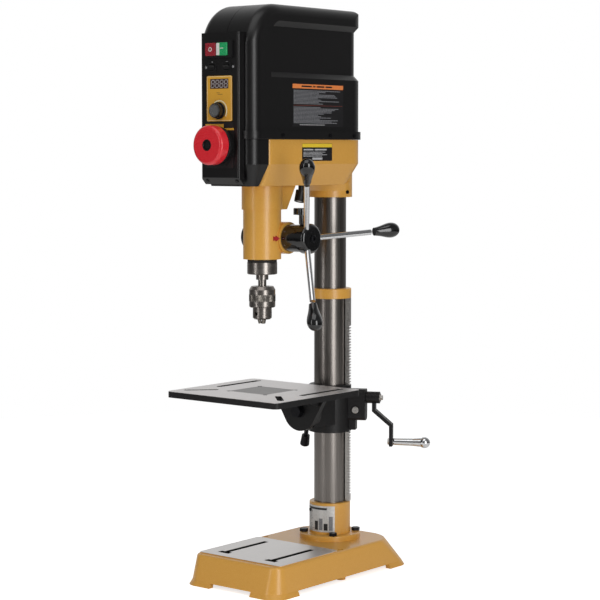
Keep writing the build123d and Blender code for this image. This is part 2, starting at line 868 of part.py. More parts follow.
with BuildPart() as table_insert:
    with BuildSketch(xy(table_top - insert_depth)):
        with Locations((0, spindle_y)):
            size = insert_size - 2 * insert_clearance
            Rectangle(size, size)
            with GridLocations(size, 0, 2, 1):
                Rectangle(3, 6, mode=Mode.SUBTRACT)
            with GridLocations(0, size, 1, 2):
                Rectangle(6, 3, mode=Mode.SUBTRACT)
    extrude(amount=insert_depth - 0.2)
save(table_insert, "table_insert")

with BuildPart() as tilt_bolt:
    with BuildSketch(xz(trunnion_front - 3.2)):
        with Locations((0, tilt_z)):
            RegularPolygon(hex_head(tilt_bolt_across_flats), 6)
    extrude(amount=10)
    with BuildSketch(xz(trunnion_front - 0.2)):
        with Locations((0, tilt_z)):
            Circle(tilt_bolt_across_flats / 2 + 3)
    extrude(amount=3)
    with BuildSketch(xz(trunnion_front - 1)):
        with Locations((0, tilt_z)):
            Circle(tilt_bolt_diameter / 2)
    extrude(amount=-trunnion_thickness - 2 * tilt_flange_thickness)
save(tilt_bolt, "tilt_bolt")

# ---- Head casting --------------------------------------------------------------------
# An open-topped iron box with the column socket behind and the quill barrel in front.


def casting_outline(half_width, front, rear, wall=0.0):
    return plan_outline(half_width - wall, front + wall, rear - wall, 8, head_rear_corner - wall)


feed_y = spindle_y + quill_rack_flat - 0.95 * feed_module + feed_module * feed_pinion_teeth / 2
pinion_tip_radius = feed_module * feed_pinion_teeth / 2 + 0.95 * feed_module
journal_radius = pinion_tip_radius + 0.4
journal_start = 16.0
feed_shaft_plane = Plane((0, feed_y, feed_z), x_dir=(0, 1, 0), z_dir=(1, 0, 0))
casting_floor = head_bottom + head_wall + 2
bearing_housing_top = 944.0
sleeve_bearing_radius = 23.5
motor_post_places = [(-54, -60), (54, -60), (-54, 70), (54, 70)]
motor_post_radius = 7.0

with BuildPart() as head_casting:
    with BuildSketch(xy(head_crease)):
        add(casting_outline(head_half_width, head_front, head_rear))
    extrude(amount=head_seam - head_crease)
    with BuildSketch(xy(head_bottom)):
        add(casting_outline(head_bottom_half_width, head_front + 4, head_bottom_rear))
    with BuildSketch(xy(head_crease)):
        add(casting_outline(head_half_width, head_front, head_rear))
    loft()
    with BuildSketch(xy(head_crease)):
        add(casting_outline(head_half_width, head_front, head_rear, head_wall))
    extrude(amount=head_seam - head_crease, mode=Mode.SUBTRACT)
    with BuildSketch(xy(casting_floor)):
        add(
            casting_outline(
                head_bottom_half_width + 3, head_front + 4, head_bottom_rear, head_wall
            )
        )
    with BuildSketch(xy(head_crease)):
        add(casting_outline(head_half_width, head_front, head_rear, head_wall))
    loft(mode=Mode.SUBTRACT)
    # Column socket, drawn out of the underside
    with BuildSketch(xy(column_socket_bottom)):
        with Locations((0, column_y)):
            Circle(column_socket_radius)
    extrude(amount=column_top - column_socket_bottom)
    with BuildSketch(xy(column_socket_bottom + 14)):
        with Locations((0, column_y)):
            Circle(column_socket_radius)
    with BuildSketch(xy(head_bottom + 4)):
        with Locations((0, column_y - 12)):
            Circle(column_socket_radius + 4)
    loft()
    # Quill barrel: round below, a larger block above with a sloping back
    with BuildSketch(xy(barrel_bottom)):
        with Locations((0, spindle_y)):
            Circle(barrel_radius)
    extrude(amount=quill_guide_top - barrel_bottom)
    with BuildSketch(xy(barrel_shoulder)):
        with Locations((0, spindle_y)):
            Circle(barrel_upper_radius)
    extrude(amount=head_bottom + 2 - barrel_shoulder)
    with BuildSketch(yz(0)):
        with BuildLine():
            Polyline(
                (spindle_y, barrel_shoulder),
                (spindle_y + barrel_upper_radius - 2, barrel_shoulder),
                (spindle_y + barrel_upper_radius + 28, head_bottom + 2),
                (spindle_y, head_bottom + 2),
                close=True,
            )
        make_face()
    extrude(amount=barrel_upper_radius - 9, both=True)
    # Feed shaft boss
    with BuildSketch(feed_shaft_plane):
        Circle(feed_boss_radius)
    extrude(amount=feed_boss_reach, both=True)
    # Bosses that the motor plate's posts stand on
    with BuildSketch(xy(head_crease - 20)):
        with Locations(*motor_post_places):
            Circle(motor_post_radius + 1)
    extrude(amount=head_seam - head_crease + 20)
    # Bearing housing of the pulley sleeve
    with BuildSketch(xy(quill_guide_top - 4)):
        with Locations((0, spindle_y)):
            Circle(sleeve_bearing_radius + 7)
    extrude(amount=bearing_housing_top - quill_guide_top + 4)
    # Bores: column, quill, feed shaft, sleeve bearings
    with BuildSketch(xy(column_socket_bottom)):
        with Locations((0, column_y)):
            Circle(column_diameter / 2)
    extrude(amount=column_top - column_socket_bottom, mode=Mode.SUBTRACT)
    with BuildSketch(xy(barrel_bottom)):
        with Locations((0, spindle_y)):
            Circle(quill_radius + running_gap)
    extrude(amount=quill_guide_top - barrel_bottom, mode=Mode.SUBTRACT)
    with BuildSketch(feed_shaft_plane):
        Circle(journal_radius + running_gap)
    extrude(amount=feed_boss_reach, both=True, mode=Mode.SUBTRACT)
    with BuildSketch(xy(quill_guide_top)):
        with Locations((0, spindle_y)):
            Circle(sleeve_bearing_radius)
    extrude(amount=bearing_housing_top - quill_guide_top, mode=Mode.SUBTRACT)
    with BuildSketch(set_screw_plane(column_socket_bottom + 11, -2)):
        Circle(set_screw_radius)
    extrude(amount=column_socket_radius + 10, mode=Mode.SUBTRACT)
save(head_casting, "head_casting")

set_screw_places = [
    (set_screw_z, set_screw_angle, socket_radius),
    (ring_bottom + 15, set_screw_angle, ring_radius - 1.5),
    (column_socket_bottom + 11, -2, column_socket_radius),
]
with BuildPart() as set_screws:
    for height, angle, outside in set_screw_places:
        screw_plane = set_screw_plane(height, angle)
        with BuildSketch(screw_plane.offset(column_diameter / 2 + 0.5)):
            Circle(set_screw_radius)
        extrude(amount=outside - column_diameter / 2 + 2)
        with BuildSketch(screw_plane.offset(outside + 2.5)):
            RegularPolygon(2.2, 6)
        extrude(amount=-4, mode=Mode.SUBTRACT)
save(set_screws, "set_screws")

# ---- Quill and its bearings ----------------------------------------------------------

feed_pitch = 3.14159265 * feed_module
quill_tip_line = quill_rack_flat
quill_root_line = quill_rack_flat - (0.95 + 1.25) * feed_module
quill_spaces = int((quill_top - 6 - feed_z) / feed_pitch)
quill_rack_plane = Plane((0, spindle_y, 0), x_dir=(0, 1, 0), z_dir=(1, 0, 0))
with BuildPart() as quill:
    with BuildSketch(xy(quill_bottom)):
        with Locations((0, spindle_y)):
            Circle(quill_radius)
    extrude(amount=quill_top - quill_bottom)
    with BuildSketch(xy(quill_bottom)):
        with Locations((0, spindle_y)):
            Circle(quill_collar_radius)
    extrude(amount=quill_collar_top - quill_bottom)
    chamfer(quill.edges().group_by(Axis.Z)[0], 1.5)
    with BuildSketch(xy(quill_bottom)):
        with Locations((0, spindle_y)):
            Circle(quill_bore)
    extrude(amount=quill_top - quill_bottom, mode=Mode.SUBTRACT)
    with BuildSketch(xy(quill_bottom)):
        with Locations((0, spindle_y)):
            Circle(bearing_radius)
    extrude(amount=bearing_width, mode=Mode.SUBTRACT)
    with BuildSketch(xy(quill_top)):
        with Locations((0, spindle_y)):
            Circle(bearing_radius)
    extrude(amount=-bearing_width, mode=Mode.SUBTRACT)
    # Flat with rack teeth on the back, clear of the pinion's ends
    with BuildSketch(quill_rack_plane):
        with BuildLine():
            low = feed_z - 3.5 * feed_pitch
            edge = [(quill_radius + 1, low), (quill_tip_line, low)]
            teeth = rack_steps(
                feed_module, feed_z - 2 * feed_pitch, quill_spaces + 3, quill_root_line,
                quill_tip_line,
            )
            edge += [(out, along) for along, out in teeth]
            edge += [(quill_tip_line, quill_top + 1), (quill_radius + 1, quill_top + 1)]
            Polyline(*edge, close=True)
        make_face()
    extrude(amount=quill_radius, both=True, mode=Mode.SUBTRACT)
save(quill, "quill")

with BuildPart() as quill_bearings:
    for height in (quill_bottom, quill_top - bearing_width):
        with BuildSketch(xy(height)):
            with Locations((0, spindle_y)):
                Circle(bearing_radius)
                Circle(spindle_radius + running_gap, mode=Mode.SUBTRACT)
        extrude(amount=bearing_width)
save(quill_bearings, "quill_bearings")

with BuildPart() as quill_bumper:
    with BuildSketch(xy(quill_collar_top + 0.6)):
        with Locations((0, spindle_y)):
            Circle(barrel_radius - 9)
            Circle(quill_radius + running_gap, mode=Mode.SUBTRACT)
    extrude(amount=barrel_bottom - quill_collar_top - 0.6)
save(quill_bumper, "quill_bumper")

# ---- Spindle and chuck ---------------------------------------------------------------


def spline_profile(gap):
    """Six-groove spindle section, grown by a gap."""
    with BuildSketch(mode=Mode.PRIVATE) as profile:
        Circle(spindle_radius + gap)
        with PolarLocations(spindle_radius, 6):
            Rectangle(2 * (spline_depth - gap), spline_groove - 2 * gap, mode=Mode.SUBTRACT)
    return profile.sketch


spline_bottom = quill_top + 2
arbor_seat = 22.0
with BuildPart() as spindle:
    # The chuck's arbor below the nose
    with BuildSketch(xy(chuck_top - arbor_seat)):
        with Locations((0, spindle_y)):
            Circle(chuck_arbor_radius)
    extrude(amount=spindle_nose_bottom - chuck_top + arbor_seat)
    with BuildSketch(xy(spindle_nose_bottom)):
        with Locations((0, spindle_y)):
            Circle(spindle_nose_radius)
    extrude(amount=quill_bottom - 0.3 - spindle_nose_bottom)
    with BuildSketch(xy(spindle_nose_bottom)):
        with Locations((0, spindle_y)):
            Circle(spindle_radius)
    extrude(amount=spline_bottom - spindle_nose_bottom)
    with BuildSketch(xy(spline_bottom)):
        with Locations((0, spindle_y)):
            add(spline_profile(0))
    extrude(amount=spindle_top - spline_bottom)
save(spindle, "spindle")

jaw_angles = (90.0, 210.0, 330.0)


def jaw_plane(angle):
    """Plane across a jaw at its lower end, facing up its slanting bore."""
    outward = Vector(cos(radians(angle)), sin(radians(angle)), 0)
    slant = Vector(0, 0, cos(radians(jaw_tilt))) + outward * sin(radians(jaw_tilt))
    start = Vector(0, spindle_y, jaw_tip_z) + outward * jaw_tip_offset
    return Plane(start, z_dir=slant)


sleeve_gap = clear_gap
with BuildPart() as chuck_body:
    with BuildSketch(xy(chuck_nose_bottom)):
        with Locations((0, spindle_y)):
            Circle(chuck_nose_radius)
    extrude(amount=chuck_sleeve_bottom + 1 - chuck_nose_bottom)
    chamfer(chuck_body.edges().group_by(Axis.Z)[0], 3)
    with BuildSketch(xy(chuck_sleeve_bottom + 1)):
        with Locations((0, spindle_y)):
            Circle(chuck_core_radius)
    extrude(amount=chuck_top - 8 - chuck_sleeve_bottom - 1)
    with BuildSketch(xy(chuck_top - 8)):
        with Locations((0, spindle_y)):
            Circle(14)
    extrude(amount=8)
    with BuildSketch(xy(chuck_top)):
        with Locations((0, spindle_y)):
            Circle(chuck_arbor_radius)
    extrude(amount=-arbor_seat, mode=Mode.SUBTRACT)
    # Throat between the jaws, three slanting jaw bores and the key holes
    with BuildSketch(xy(chuck_nose_bottom)):
        with Locations((0, spindle_y)):
            Circle(9)
    extrude(amount=chuck_top - arbor_seat - 8 - chuck_nose_bottom, mode=Mode.SUBTRACT)
    for angle in jaw_angles:
        with BuildSketch(jaw_plane(angle)):
            Circle(jaw_radius + running_gap)
        extrude(amount=64, mode=Mode.SUBTRACT)
    for angle in (30.0, 150.0, 270.0):
        outward = Vector(cos(radians(angle)), sin(radians(angle)), 0)
        with BuildSketch(Plane((0, spindle_y, chuck_key_z), z_dir=outward)):
            Circle(chuck_key_hole / 2)
        extrude(amount=chuck_nose_radius + 1, mode=Mode.SUBTRACT)
save(chuck_body, "chuck_body")

key_teeth = 30
with BuildPart() as chuck_sleeve:
    with BuildSketch(xy(chuck_sleeve_bottom)):
        with Locations((0, spindle_y)):
            Circle(chuck_sleeve_radius)
    extrude(amount=chuck_top - chuck_sleeve_bottom - 0.5)
    chamfer(chuck_sleeve.edges().group_by(Axis.Z)[-1], 7, 4)
    chamfer(chuck_sleeve.edges().group_by(Axis.Z)[0], 2)
    with BuildSketch(xy(chuck_sleeve_bottom)):
        with Locations((0, spindle_y)):
            Circle(chuck_core_radius + sleeve_gap)
    extrude(amount=chuck_top - 7.6 - chuck_sleeve_bottom, mode=Mode.SUBTRACT)
    with BuildSketch(xy(chuck_sleeve_bottom)):
        with Locations((0, spindle_y)):
            Circle(14 + sleeve_gap)
    extrude(amount=chuck_top, mode=Mode.SUBTRACT)
    with BuildSketch(xy(chuck_sleeve_bottom)):
        with Locations((0, spindle_y)):
            with PolarLocations(chuck_sleeve_radius, key_teeth):
                Rectangle(10, 3)
    extrude(amount=2.5, mode=Mode.SUBTRACT)
save(chuck_sleeve, "chuck_sleeve")

for number, angle in enumerate(jaw_angles, 1):
    with BuildPart() as jaw:
        with BuildSketch(jaw_plane(angle)):
            Circle(jaw_radius)
        extrude(amount=jaw_length)
        # The gripping face is upright and stops short of the spindle axis
        outward = Vector(cos(radians(angle)), sin(radians(angle)), 0)
        grip_face = Plane(Vector(0, spindle_y, jaw_tip_z) + outward * 1.2, z_dir=outward)
        split(bisect_by=grip_face, keep=Keep.TOP)
        split(bisect_by=xy(jaw_tip_z), keep=Keep.TOP)
    save(jaw, f"chuck_jaw_{number}")

# ---- Feed shaft, hub, handles, depth dial and return spring --------------------------

with BuildPart() as feed_shaft:
    spring_end = -feed_boss_reach - spring_cap_depth + 5
    with BuildSketch(feed_shaft_plane.offset(spring_end)):
        Circle(8)
    extrude(amount=hub_end - 8 - spring_end)
    for journal_side in (-1, 1):
        with BuildSketch(feed_shaft_plane.offset(journal_side * journal_start)):
            Circle(journal_radius)
        extrude(amount=journal_side * (feed_boss_reach - 1 - journal_start))
    with BuildSketch(feed_shaft_plane.offset(feed_boss_reach - 1)):
        Circle(feed_shaft_radius)
    extrude(amount=hub_end - 8 - feed_boss_reach)
    # Pinion teeth, set so that a tooth enters a space of the quill's rack
    with BuildSketch(feed_shaft_plane.offset(-7)):
        Polygon(*gear_outline(feed_module, feed_pinion_teeth, 0.25), align=None)
    extrude(amount=14)
save(feed_shaft, "feed_shaft")

with BuildPart() as depth_dial:
    with BuildSketch(feed_shaft_plane.offset(dial_start)):
        Circle(dial_radius)
    extrude(amount=dial_end - dial_start)
    chamfer(depth_dial.edges().group_by(Axis.X)[0], 1)
    with BuildSketch(feed_shaft_plane.offset(dial_start)):
        Circle(feed_shaft_radius + running_gap)
    extrude(amount=dial_end - dial_start, mode=Mode.SUBTRACT)
    with BuildSketch(Plane((dial_end - 8, feed_y, feed_z), z_dir=(0, 0, 1))):
        Circle(4)
    extrude(amount=dial_radius + 1, mode=Mode.SUBTRACT)
save(depth_dial, "depth_dial")

lock_seat = feed_z + dial_radius + 1
lock_stem = 20.0
with BuildPart() as depth_lock_knob:
    with BuildSketch(xy(lock_seat)):
        with Locations((dial_end - 8, feed_y)):
            Circle(5.5)
    extrude(amount=lock_stem)
    with BuildSketch(xy(lock_seat + lock_stem)):
        with Locations((dial_end - 8, feed_y)):
            Circle(12)
            with PolarLocations(12, 5):
                Circle(5)
    extrude(amount=14)
    fillet(depth_lock_knob.faces().sort_by(Axis.Z)[-1].edges(), 2)
    with BuildSketch(xy(lock_seat)):
        with Locations((dial_end - 8, feed_y)):
            Circle(4 - running_gap)
    extrude(amount=-14)
save(depth_lock_knob, "depth_lock_knob")

spoke_angles = [spoke_first_angle + 120 * turn for turn in range(3)]
spoke_inner = (feed_shaft_radius + 0.3 + spoke_radius * sin(radians(spoke_tilt))) / cos(
    radians(spoke_tilt)
)


def spoke_plane(angle, reach):
    """Plane across a handle spoke at a distance from the feed axis, facing outward."""
    around = Vector(0, cos(radians(angle)), sin(radians(angle)))
    along = around * cos(radians(spoke_tilt)) + Vector(sin(radians(spoke_tilt)), 0, 0)
    return Plane(Vector(spoke_cross_x, feed_y, feed_z) + along * reach, z_dir=along)


with BuildPart() as feed_hub:
    with BuildSketch(feed_shaft_plane.offset(dial_end + 0.3)):
        Circle(hub_radius)
    extrude(amount=hub_end - dial_end - 0.3)
    fillet(feed_hub.edges().group_by(Axis.X)[-1], 8)
    with BuildSketch(feed_shaft_plane.offset(dial_end)):
        Circle(feed_shaft_radius)
    extrude(amount=hub_end - 7 - dial_end, mode=Mode.SUBTRACT)
    with BuildSketch(feed_shaft_plane.offset(dial_end)):
        Circle(4)
    extrude(amount=hub_end, mode=Mode.SUBTRACT)
    for angle in spoke_angles:
        with BuildSketch(spoke_plane(angle, spoke_inner)):
            Circle(spoke_radius)
        extrude(amount=60, mode=Mode.SUBTRACT)
save(feed_hub, "feed_hub")

with BuildPart() as hub_screw:
    with BuildSketch(feed_shaft_plane.offset(hub_end)):
        Circle(7.5)
    extrude(amount=4)
    fillet(hub_screw.edges().group_by(Axis.X)[-1], 1.5)
    with BuildSketch(feed_shaft_plane.offset(hub_end - 7)):
        Circle(4)
    extrude(amount=8)
    with BuildSketch(feed_shaft_plane.offset(hub_end + 4)):
        RegularPolygon(hex_head(6), 6)
    extrude(amount=-3, mode=Mode.SUBTRACT)
save(hub_screw, "hub_screw")

with BuildPart() as feed_spokes:
    for angle in spoke_angles:
        with BuildSketch(spoke_plane(angle, spoke_inner)):
            Circle(spoke_radius)
        extrude(amount=spoke_reach - knob_length + 12 - spoke_inner)
save(feed_spokes, "feed_spokes")

knob_start = spoke_reach - knob_length + 20
with BuildPart() as feed_knobs:
    for angle in spoke_angles:
        lower = spoke_plane(angle, knob_start)
        with BuildSketch(Plane(lower.origin, x_dir=lower.z_dir, z_dir=lower.x_dir)):
            with BuildLine():
                Line((0, 0), (0, 8.5))
                Spline(
                    (0, 8.5),
                    (knob_length * 0.35, 12.5),
                    (knob_length - 18, knob_radius),
                    (knob_length - 4.5, 10.5),
                    (knob_length, 0),
                    tangents=[(1, 0.1), (0, -1)],
                )
                Line((knob_length, 0), (0, 0))
            make_face()
        revolve(axis=Axis(lower.origin, lower.z_dir))
        with BuildSketch(lower):
            Circle(spoke_radius)
        extrude(amount=spoke_reach - knob_length + 12 - knob_start, mode=Mode.SUBTRACT)
save(feed_knobs, "feed_knobs")

with BuildPart() as spring_cap:
    with BuildSketch(feed_shaft_plane.offset(-feed_boss_reach)):
        Circle(spring_cap_radius)
    extrude(amount=-spring_cap_depth)
    fillet(spring_cap.edges().group_by(Axis.X)[0], 3)
    with BuildSketch(feed_shaft_plane.offset(-feed_boss_reach)):
        Circle(spring_cap_radius - 3)
    extrude(amount=-spring_cap_depth + 3, mode=Mode.SUBTRACT)
save(spring_cap, "spring_cap")

with BuildPart() as return_spring:
    with BuildSketch(feed_shaft_plane.offset(-feed_boss_reach - 3)):
        Circle(spring_cap_radius - 4)
        Circle(13, mode=Mode.SUBTRACT)
    extrude(amount=-14)
save(return_spring, "return_spring")


# ---- Head cover ----------------------------------------------------------------------
# A moulded shell over the motor and belt, with a waist pressed in behind the control box.


def cover_outline(inset):
    return plan_outline(
        head_half_width - inset,
        cover_front + inset,
        head_rear - inset,
        cover_front_corner - inset / 2,
        head_rear_corner - inset,
    )


def waist_cutter(inset):
    """What the waist removes: a block behind the control box, less the narrower core."""
    levels = [
        (waist_bottom - inset, -1.0),
        (waist_bottom - inset + waist_slope, waist_depth),
        (waist_top + inset - waist_slope, waist_depth),
        (waist_top + inset, -1.0),
    ]
    with BuildPart(mode=Mode.PRIVATE) as cutter:
        with BuildSketch(yz(-head_half_width - 10)):
            with BuildLine():
                FilletPolyline(
                    (head_rear + 10, waist_bottom - inset),
                    (waist_front - inset, waist_bottom - inset),
                    (waist_front - inset, waist_top + inset),
                    (head_rear + 10, waist_top + inset),
                    radius=[4, waist_corner],
                )
                Line((head_rear + 10, waist_top + inset), (head_rear + 10, waist_bottom - inset))
            make_face()
        extrude(amount=2 * head_half_width + 20)
        for lower, upper in zip(levels, levels[1:]):
            for height, depth in (lower, upper):
                with BuildSketch(xy(height)):
                    add(cover_outline(depth + inset))
            loft(mode=Mode.SUBTRACT)
    return cutter.part


def cover_form(inset):
    """Solid shape of the cover, shrunk by an inset on every side but the open bottom."""
    top = cover_top - inset
    with BuildPart(mode=Mode.PRIVATE) as form:
        with BuildSketch(yz(0)):
            with BuildLine():
                front = cover_front + inset
                rear = head_rear - inset
                Line((rear - 60, cover_bottom), (rear, cover_bottom))
                FilletPolyline(
                    (rear, cover_bottom), (rear, top), (rear - 60, top), radius=cover_rear_arc
                )
                Line((rear - 60, top), (front + cover_front_arc, top))
                ThreePointArc(
                    (front + cover_front_arc, top),
                    (
                        front + cover_front_arc * (1 - cos(radians(45))),
                        top - cover_front_arc * (1 - sin(radians(45))),
                    ),
                    (front, top - cover_front_arc),
                )
                Line((front, top - cover_front_arc), (front, cover_bottom))
                Line((front, cover_bottom), (rear - 60, cover_bottom))
            make_face()
        extrude(amount=head_half_width - inset, both=True)
        sides = form.faces().filter_by(Axis.X)
        rims = [e for e in sides.edges() if e.center().Z > cover_bottom + 1]
        fillet(rims, cover_edge - inset / 2)
        with BuildSketch(xy(cover_bottom)):
            add(cover_outline(inset))
        extrude(amount=cover_top - cover_bottom, mode=Mode.INTERSECT)
        # Waist: what lies outside the pressed-in band is cut away
        add(waist_cutter(inset), mode=Mode.SUBTRACT)
    return form.part


head_cover_screws = [(side, along) for side in (-1, 1) for along in (-162.0, -5.0, 78.0)]
lip_top = cover_bottom + lip_height
with BuildPart() as head_cover:
    add(cover_form(0))
    with BuildSketch(xy(cover_bottom)):
        add(cover_outline(-lip_reach))
    extrude(amount=lip_height)
    fillet(head_cover.edges().group_by(Axis.Z)[0], 1)
    add(cover_form(cover_wall), mode=Mode.SUBTRACT)
    for side, along in head_cover_screws:
        with BuildSketch(Plane((0, along, cover_bottom + lip_height / 2), z_dir=(side, 0, 0))):
            Circle(2.25)
        extrude(amount=head_half_width + lip_reach + 1, mode=Mode.SUBTRACT)
    # The two moulded halves meet in a fine groove on the centre line
    with BuildPart(mode=Mode.PRIVATE) as seam:
        add(cover_form(0))
        add(cover_form(seam_depth), mode=Mode.SUBTRACT)
        with BuildSketch(yz(-seam_width / 2)):
            with Locations(((cover_front + head_rear) / 2, (box_top + cover_top) / 2 + 1)):
                Rectangle(head_rear - cover_front + 10, cover_top - box_top)
        extrude(amount=seam_width, mode=Mode.INTERSECT)
    add(seam.part, mode=Mode.SUBTRACT)
save(head_cover, "head_cover")

# Lower front shell between the cover and the quill barrel
chin_rear = head_front - 0.3


def chin_form(inset):
    """Tapered block under the cover's nose, shrunk by an inset."""

    def outline(half_width, front, rear, corner):
        return plan_outline(half_width - inset, front + inset, rear, corner - inset / 2, 1)

    with BuildPart(mode=Mode.PRIVATE) as form:
        with BuildSketch(xy(head_crease)):
            add(outline(head_half_width, cover_front, chin_rear, cover_front_corner))
        extrude(amount=cover_bottom - 0.3 - head_crease)
        with BuildSketch(xy(head_bottom + inset)):
            add(outline(head_bottom_half_width + 6, cover_front + 12, chin_rear - 13, 16))
        with BuildSketch(xy(head_crease)):
            add(outline(head_half_width, cover_front, chin_rear, cover_front_corner))
        loft()
    return form.part


with BuildPart() as front_shell:
    add(chin_form(0))
    add(chin_form(cover_wall), mode=Mode.SUBTRACT)
save(front_shell, "front_shell")

# ---- Control box and its controls ----------------------------------------------------

switch_z = 1126.0
switch_half_width = 38.0
switch_half_height = 17.5
rocker_z = 1090.0
rocker_x = 19.5
plate_half = 34.0
plate_low = 980.5
plate_high = 1072.5
display_z = 1056.5
speed_z = 1002.0
stop_z = 932.0
control_depth = box_front + box_wall
with BuildPart() as control_box:
    with BuildSketch(yz(0)):
        with BuildLine():
            Polyline(
                (box_front, box_bottom + box_slant),
                (box_front, box_top),
                (cover_front + cover_front_arc, box_top),
                (cover_front + cover_front_arc, box_bottom),
                (box_front + box_slant, box_bottom),
                close=True,
            )
        make_face()
    extrude(amount=box_half_width, both=True)
    fillet(control_box.edges().filter_by(Axis.Z).group_by(Axis.Y)[0], 5)
    with BuildSketch(yz(0)):
        with BuildLine():
            Polyline(
                (box_front + box_wall, box_bottom + box_slant + 2),
                (box_front + box_wall, box_top - box_wall),
                (cover_front + 8, box_top - box_wall),
                (cover_front + 8, box_bottom + box_wall),
                (box_front + box_slant, box_bottom + box_wall),
                close=True,
            )
        make_face()
    extrude(amount=box_half_width - box_wall, both=True, mode=Mode.SUBTRACT)
    add(cover_form(0), mode=Mode.SUBTRACT)
    with BuildSketch(xy(box_bottom - 10)):
        with Locations((0, cover_front + 50 - 0.2)):
            Rectangle(2 * box_half_width + 2, 100)
    extrude(amount=cover_bottom + lip_height + 10.4 - box_bottom, mode=Mode.SUBTRACT)
    with BuildSketch(xy(cover_bottom - 0.2)):
        with Locations((0, cover_front - lip_reach + 50 - 0.2)):
            Rectangle(2 * box_half_width + 2, 100)
    extrude(amount=lip_height + 0.4, mode=Mode.SUBTRACT)
    # Openings for the controls
    with BuildSketch(xz(box_front)):
        with Locations((0, switch_z)):
            Rectangle(2 * switch_half_width - 6, 2 * switch_half_height - 6)
        with Locations((-rocker_x, rocker_z), (rocker_x, rocker_z)):
            Rectangle(19.4, 13.4)
        with Locations((0, speed_z)):
            Circle(4.5)
        with Locations((0, display_z)):
            Rectangle(52, 22)
        with Locations((0, stop_z)):
            Circle(14)
    extrude(amount=-box_wall, mode=Mode.SUBTRACT)
save(control_box, "control_box")

with BuildPart() as panel_plates:
    with BuildSketch(xz(box_front)):
        with Locations((0, stop_z)):
            RectangleRounded(76, 2 * (plate_low - stop_z) - 4, 4)
            Circle(11.5, mode=Mode.SUBTRACT)
        with Locations((0, (plate_low + plate_high) / 2)):
            RectangleRounded(2 * plate_half, plate_high - plate_low, 3)
        with Locations((0, speed_z)):
            Circle(4.5, mode=Mode.SUBTRACT)
        with Locations((0, display_z)):
            Rectangle(50, 20, mode=Mode.SUBTRACT)
    extrude(amount=1.2)
save(panel_plates, "panel_plates")

with BuildPart() as speed_display:
    with BuildSketch(xz(box_front + box_wall)):
        with Locations((0, display_z)):
            Rectangle(50, 20)
    extrude(amount=box_wall + 0.8)
    with BuildSketch(xz(box_front + box_wall)):
        with Locations((0, display_z)):
            Rectangle(58, 28)
    extrude(amount=-6)
save(speed_display, "speed_display")

with BuildPart() as speed_knob:
    with BuildSketch(xz(box_front - 1.8)):
        with Locations((0, speed_z)):
            Circle(17.5)
    extrude(amount=3.5)
    with BuildSketch(xz(box_front - 5.3)):
        with Locations((0, speed_z)):
            Circle(15)
    extrude(amount=12.5, taper=4)
    fillet(speed_knob.edges().group_by(Axis.Y)[0], 1.2)
    with BuildSketch(xz(box_front - 1.8)):
        with Locations((0, speed_z)):
            Circle(3)
    extrude(amount=-14)
save(speed_knob, "speed_knob")

rocker_pin_radius = 1.2
rocker_pin_depth = 2.0
rocker_pin_reach = 9.4
button_half_width = 14.0
button_x = 15.3
button_height = 26.0
button_shift = -3.5
with BuildPart() as switch_frames:
    with BuildSketch(xz(box_front)):
        with Locations((0, switch_z)):
            RectangleRounded(2 * switch_half_width, 2 * switch_half_height, 4)
    extrude(amount=5)
    with BuildSketch(xz(box_front)):
        with Locations((0, switch_z)):
            Rectangle(2 * switch_half_width - 7, 2 * switch_half_height - 7)
    extrude(amount=-16)
    with BuildSketch(xz(box_front - 5)):
        with Locations((button_shift - button_x, switch_z), (button_shift + button_x, switch_z)):
            Rectangle(2 * button_half_width + 0.6, button_height + 0.6)
    extrude(amount=-13, mode=Mode.SUBTRACT)
    # Two small frames for the rockers below
    with BuildSketch(xz(box_front)):
        with Locations((-rocker_x, rocker_z), (rocker_x, rocker_z)):
            RectangleRounded(24, 18, 2)
            Rectangle(16, 12.4, mode=Mode.SUBTRACT)
    extrude(amount=1.5)
    with BuildSketch(xz(box_front)):
        with Locations((-rocker_x, rocker_z), (rocker_x, rocker_z)):
            Rectangle(19.4, 13.4)
            Rectangle(16, 12.4, mode=Mode.SUBTRACT)
    extrude(amount=-12)
    for rocker_middle in (-rocker_x, rocker_x):
        with BuildSketch(yz(rocker_middle - rocker_pin_reach)):
            with Locations((box_front + rocker_pin_depth, rocker_z)):
                Circle(rocker_pin_radius + running_gap)
        extrude(amount=2 * rocker_pin_reach, mode=Mode.SUBTRACT)
save(switch_frames, "switch_frames")

for button_name, button_side in (("stop_button", -1), ("start_button", 1)):
    with BuildPart() as button:
        with BuildSketch(xz(box_front + 3.5)):
            with Locations((button_shift + button_side * button_x, switch_z)):
                RectangleRounded(2 * button_half_width, button_height, 2)
        extrude(amount=11)
        fillet(button.edges().group_by(Axis.Y)[0], 1)
    save(button, button_name)

for rocker_name, rocker_side in (("laser_switch", -1), ("lamp_switch", 1)):
    # The rocker turns about a level axis just behind the panel face
    with BuildPart() as rocker:
        with BuildSketch(yz(rocker_side * rocker_x)):
            with BuildLine():
                Polyline(
                    (box_front + 6, rocker_z - 3),
                    (box_front - 1.5, rocker_z - 5),
                    (box_front - 2.6, rocker_z),
                    (box_front - 4.6, rocker_z + 4.3),
                    (box_front + 6, rocker_z + 3),
                    close=True,
                )
            make_face()
        extrude(amount=7.6, both=True)
        with BuildSketch(yz(rocker_side * rocker_x)):
            with Locations((box_front + rocker_pin_depth, rocker_z)):
                Circle(rocker_pin_radius)
        extrude(amount=rocker_pin_reach - 0.2, both=True)
    save(rocker, rocker_name)

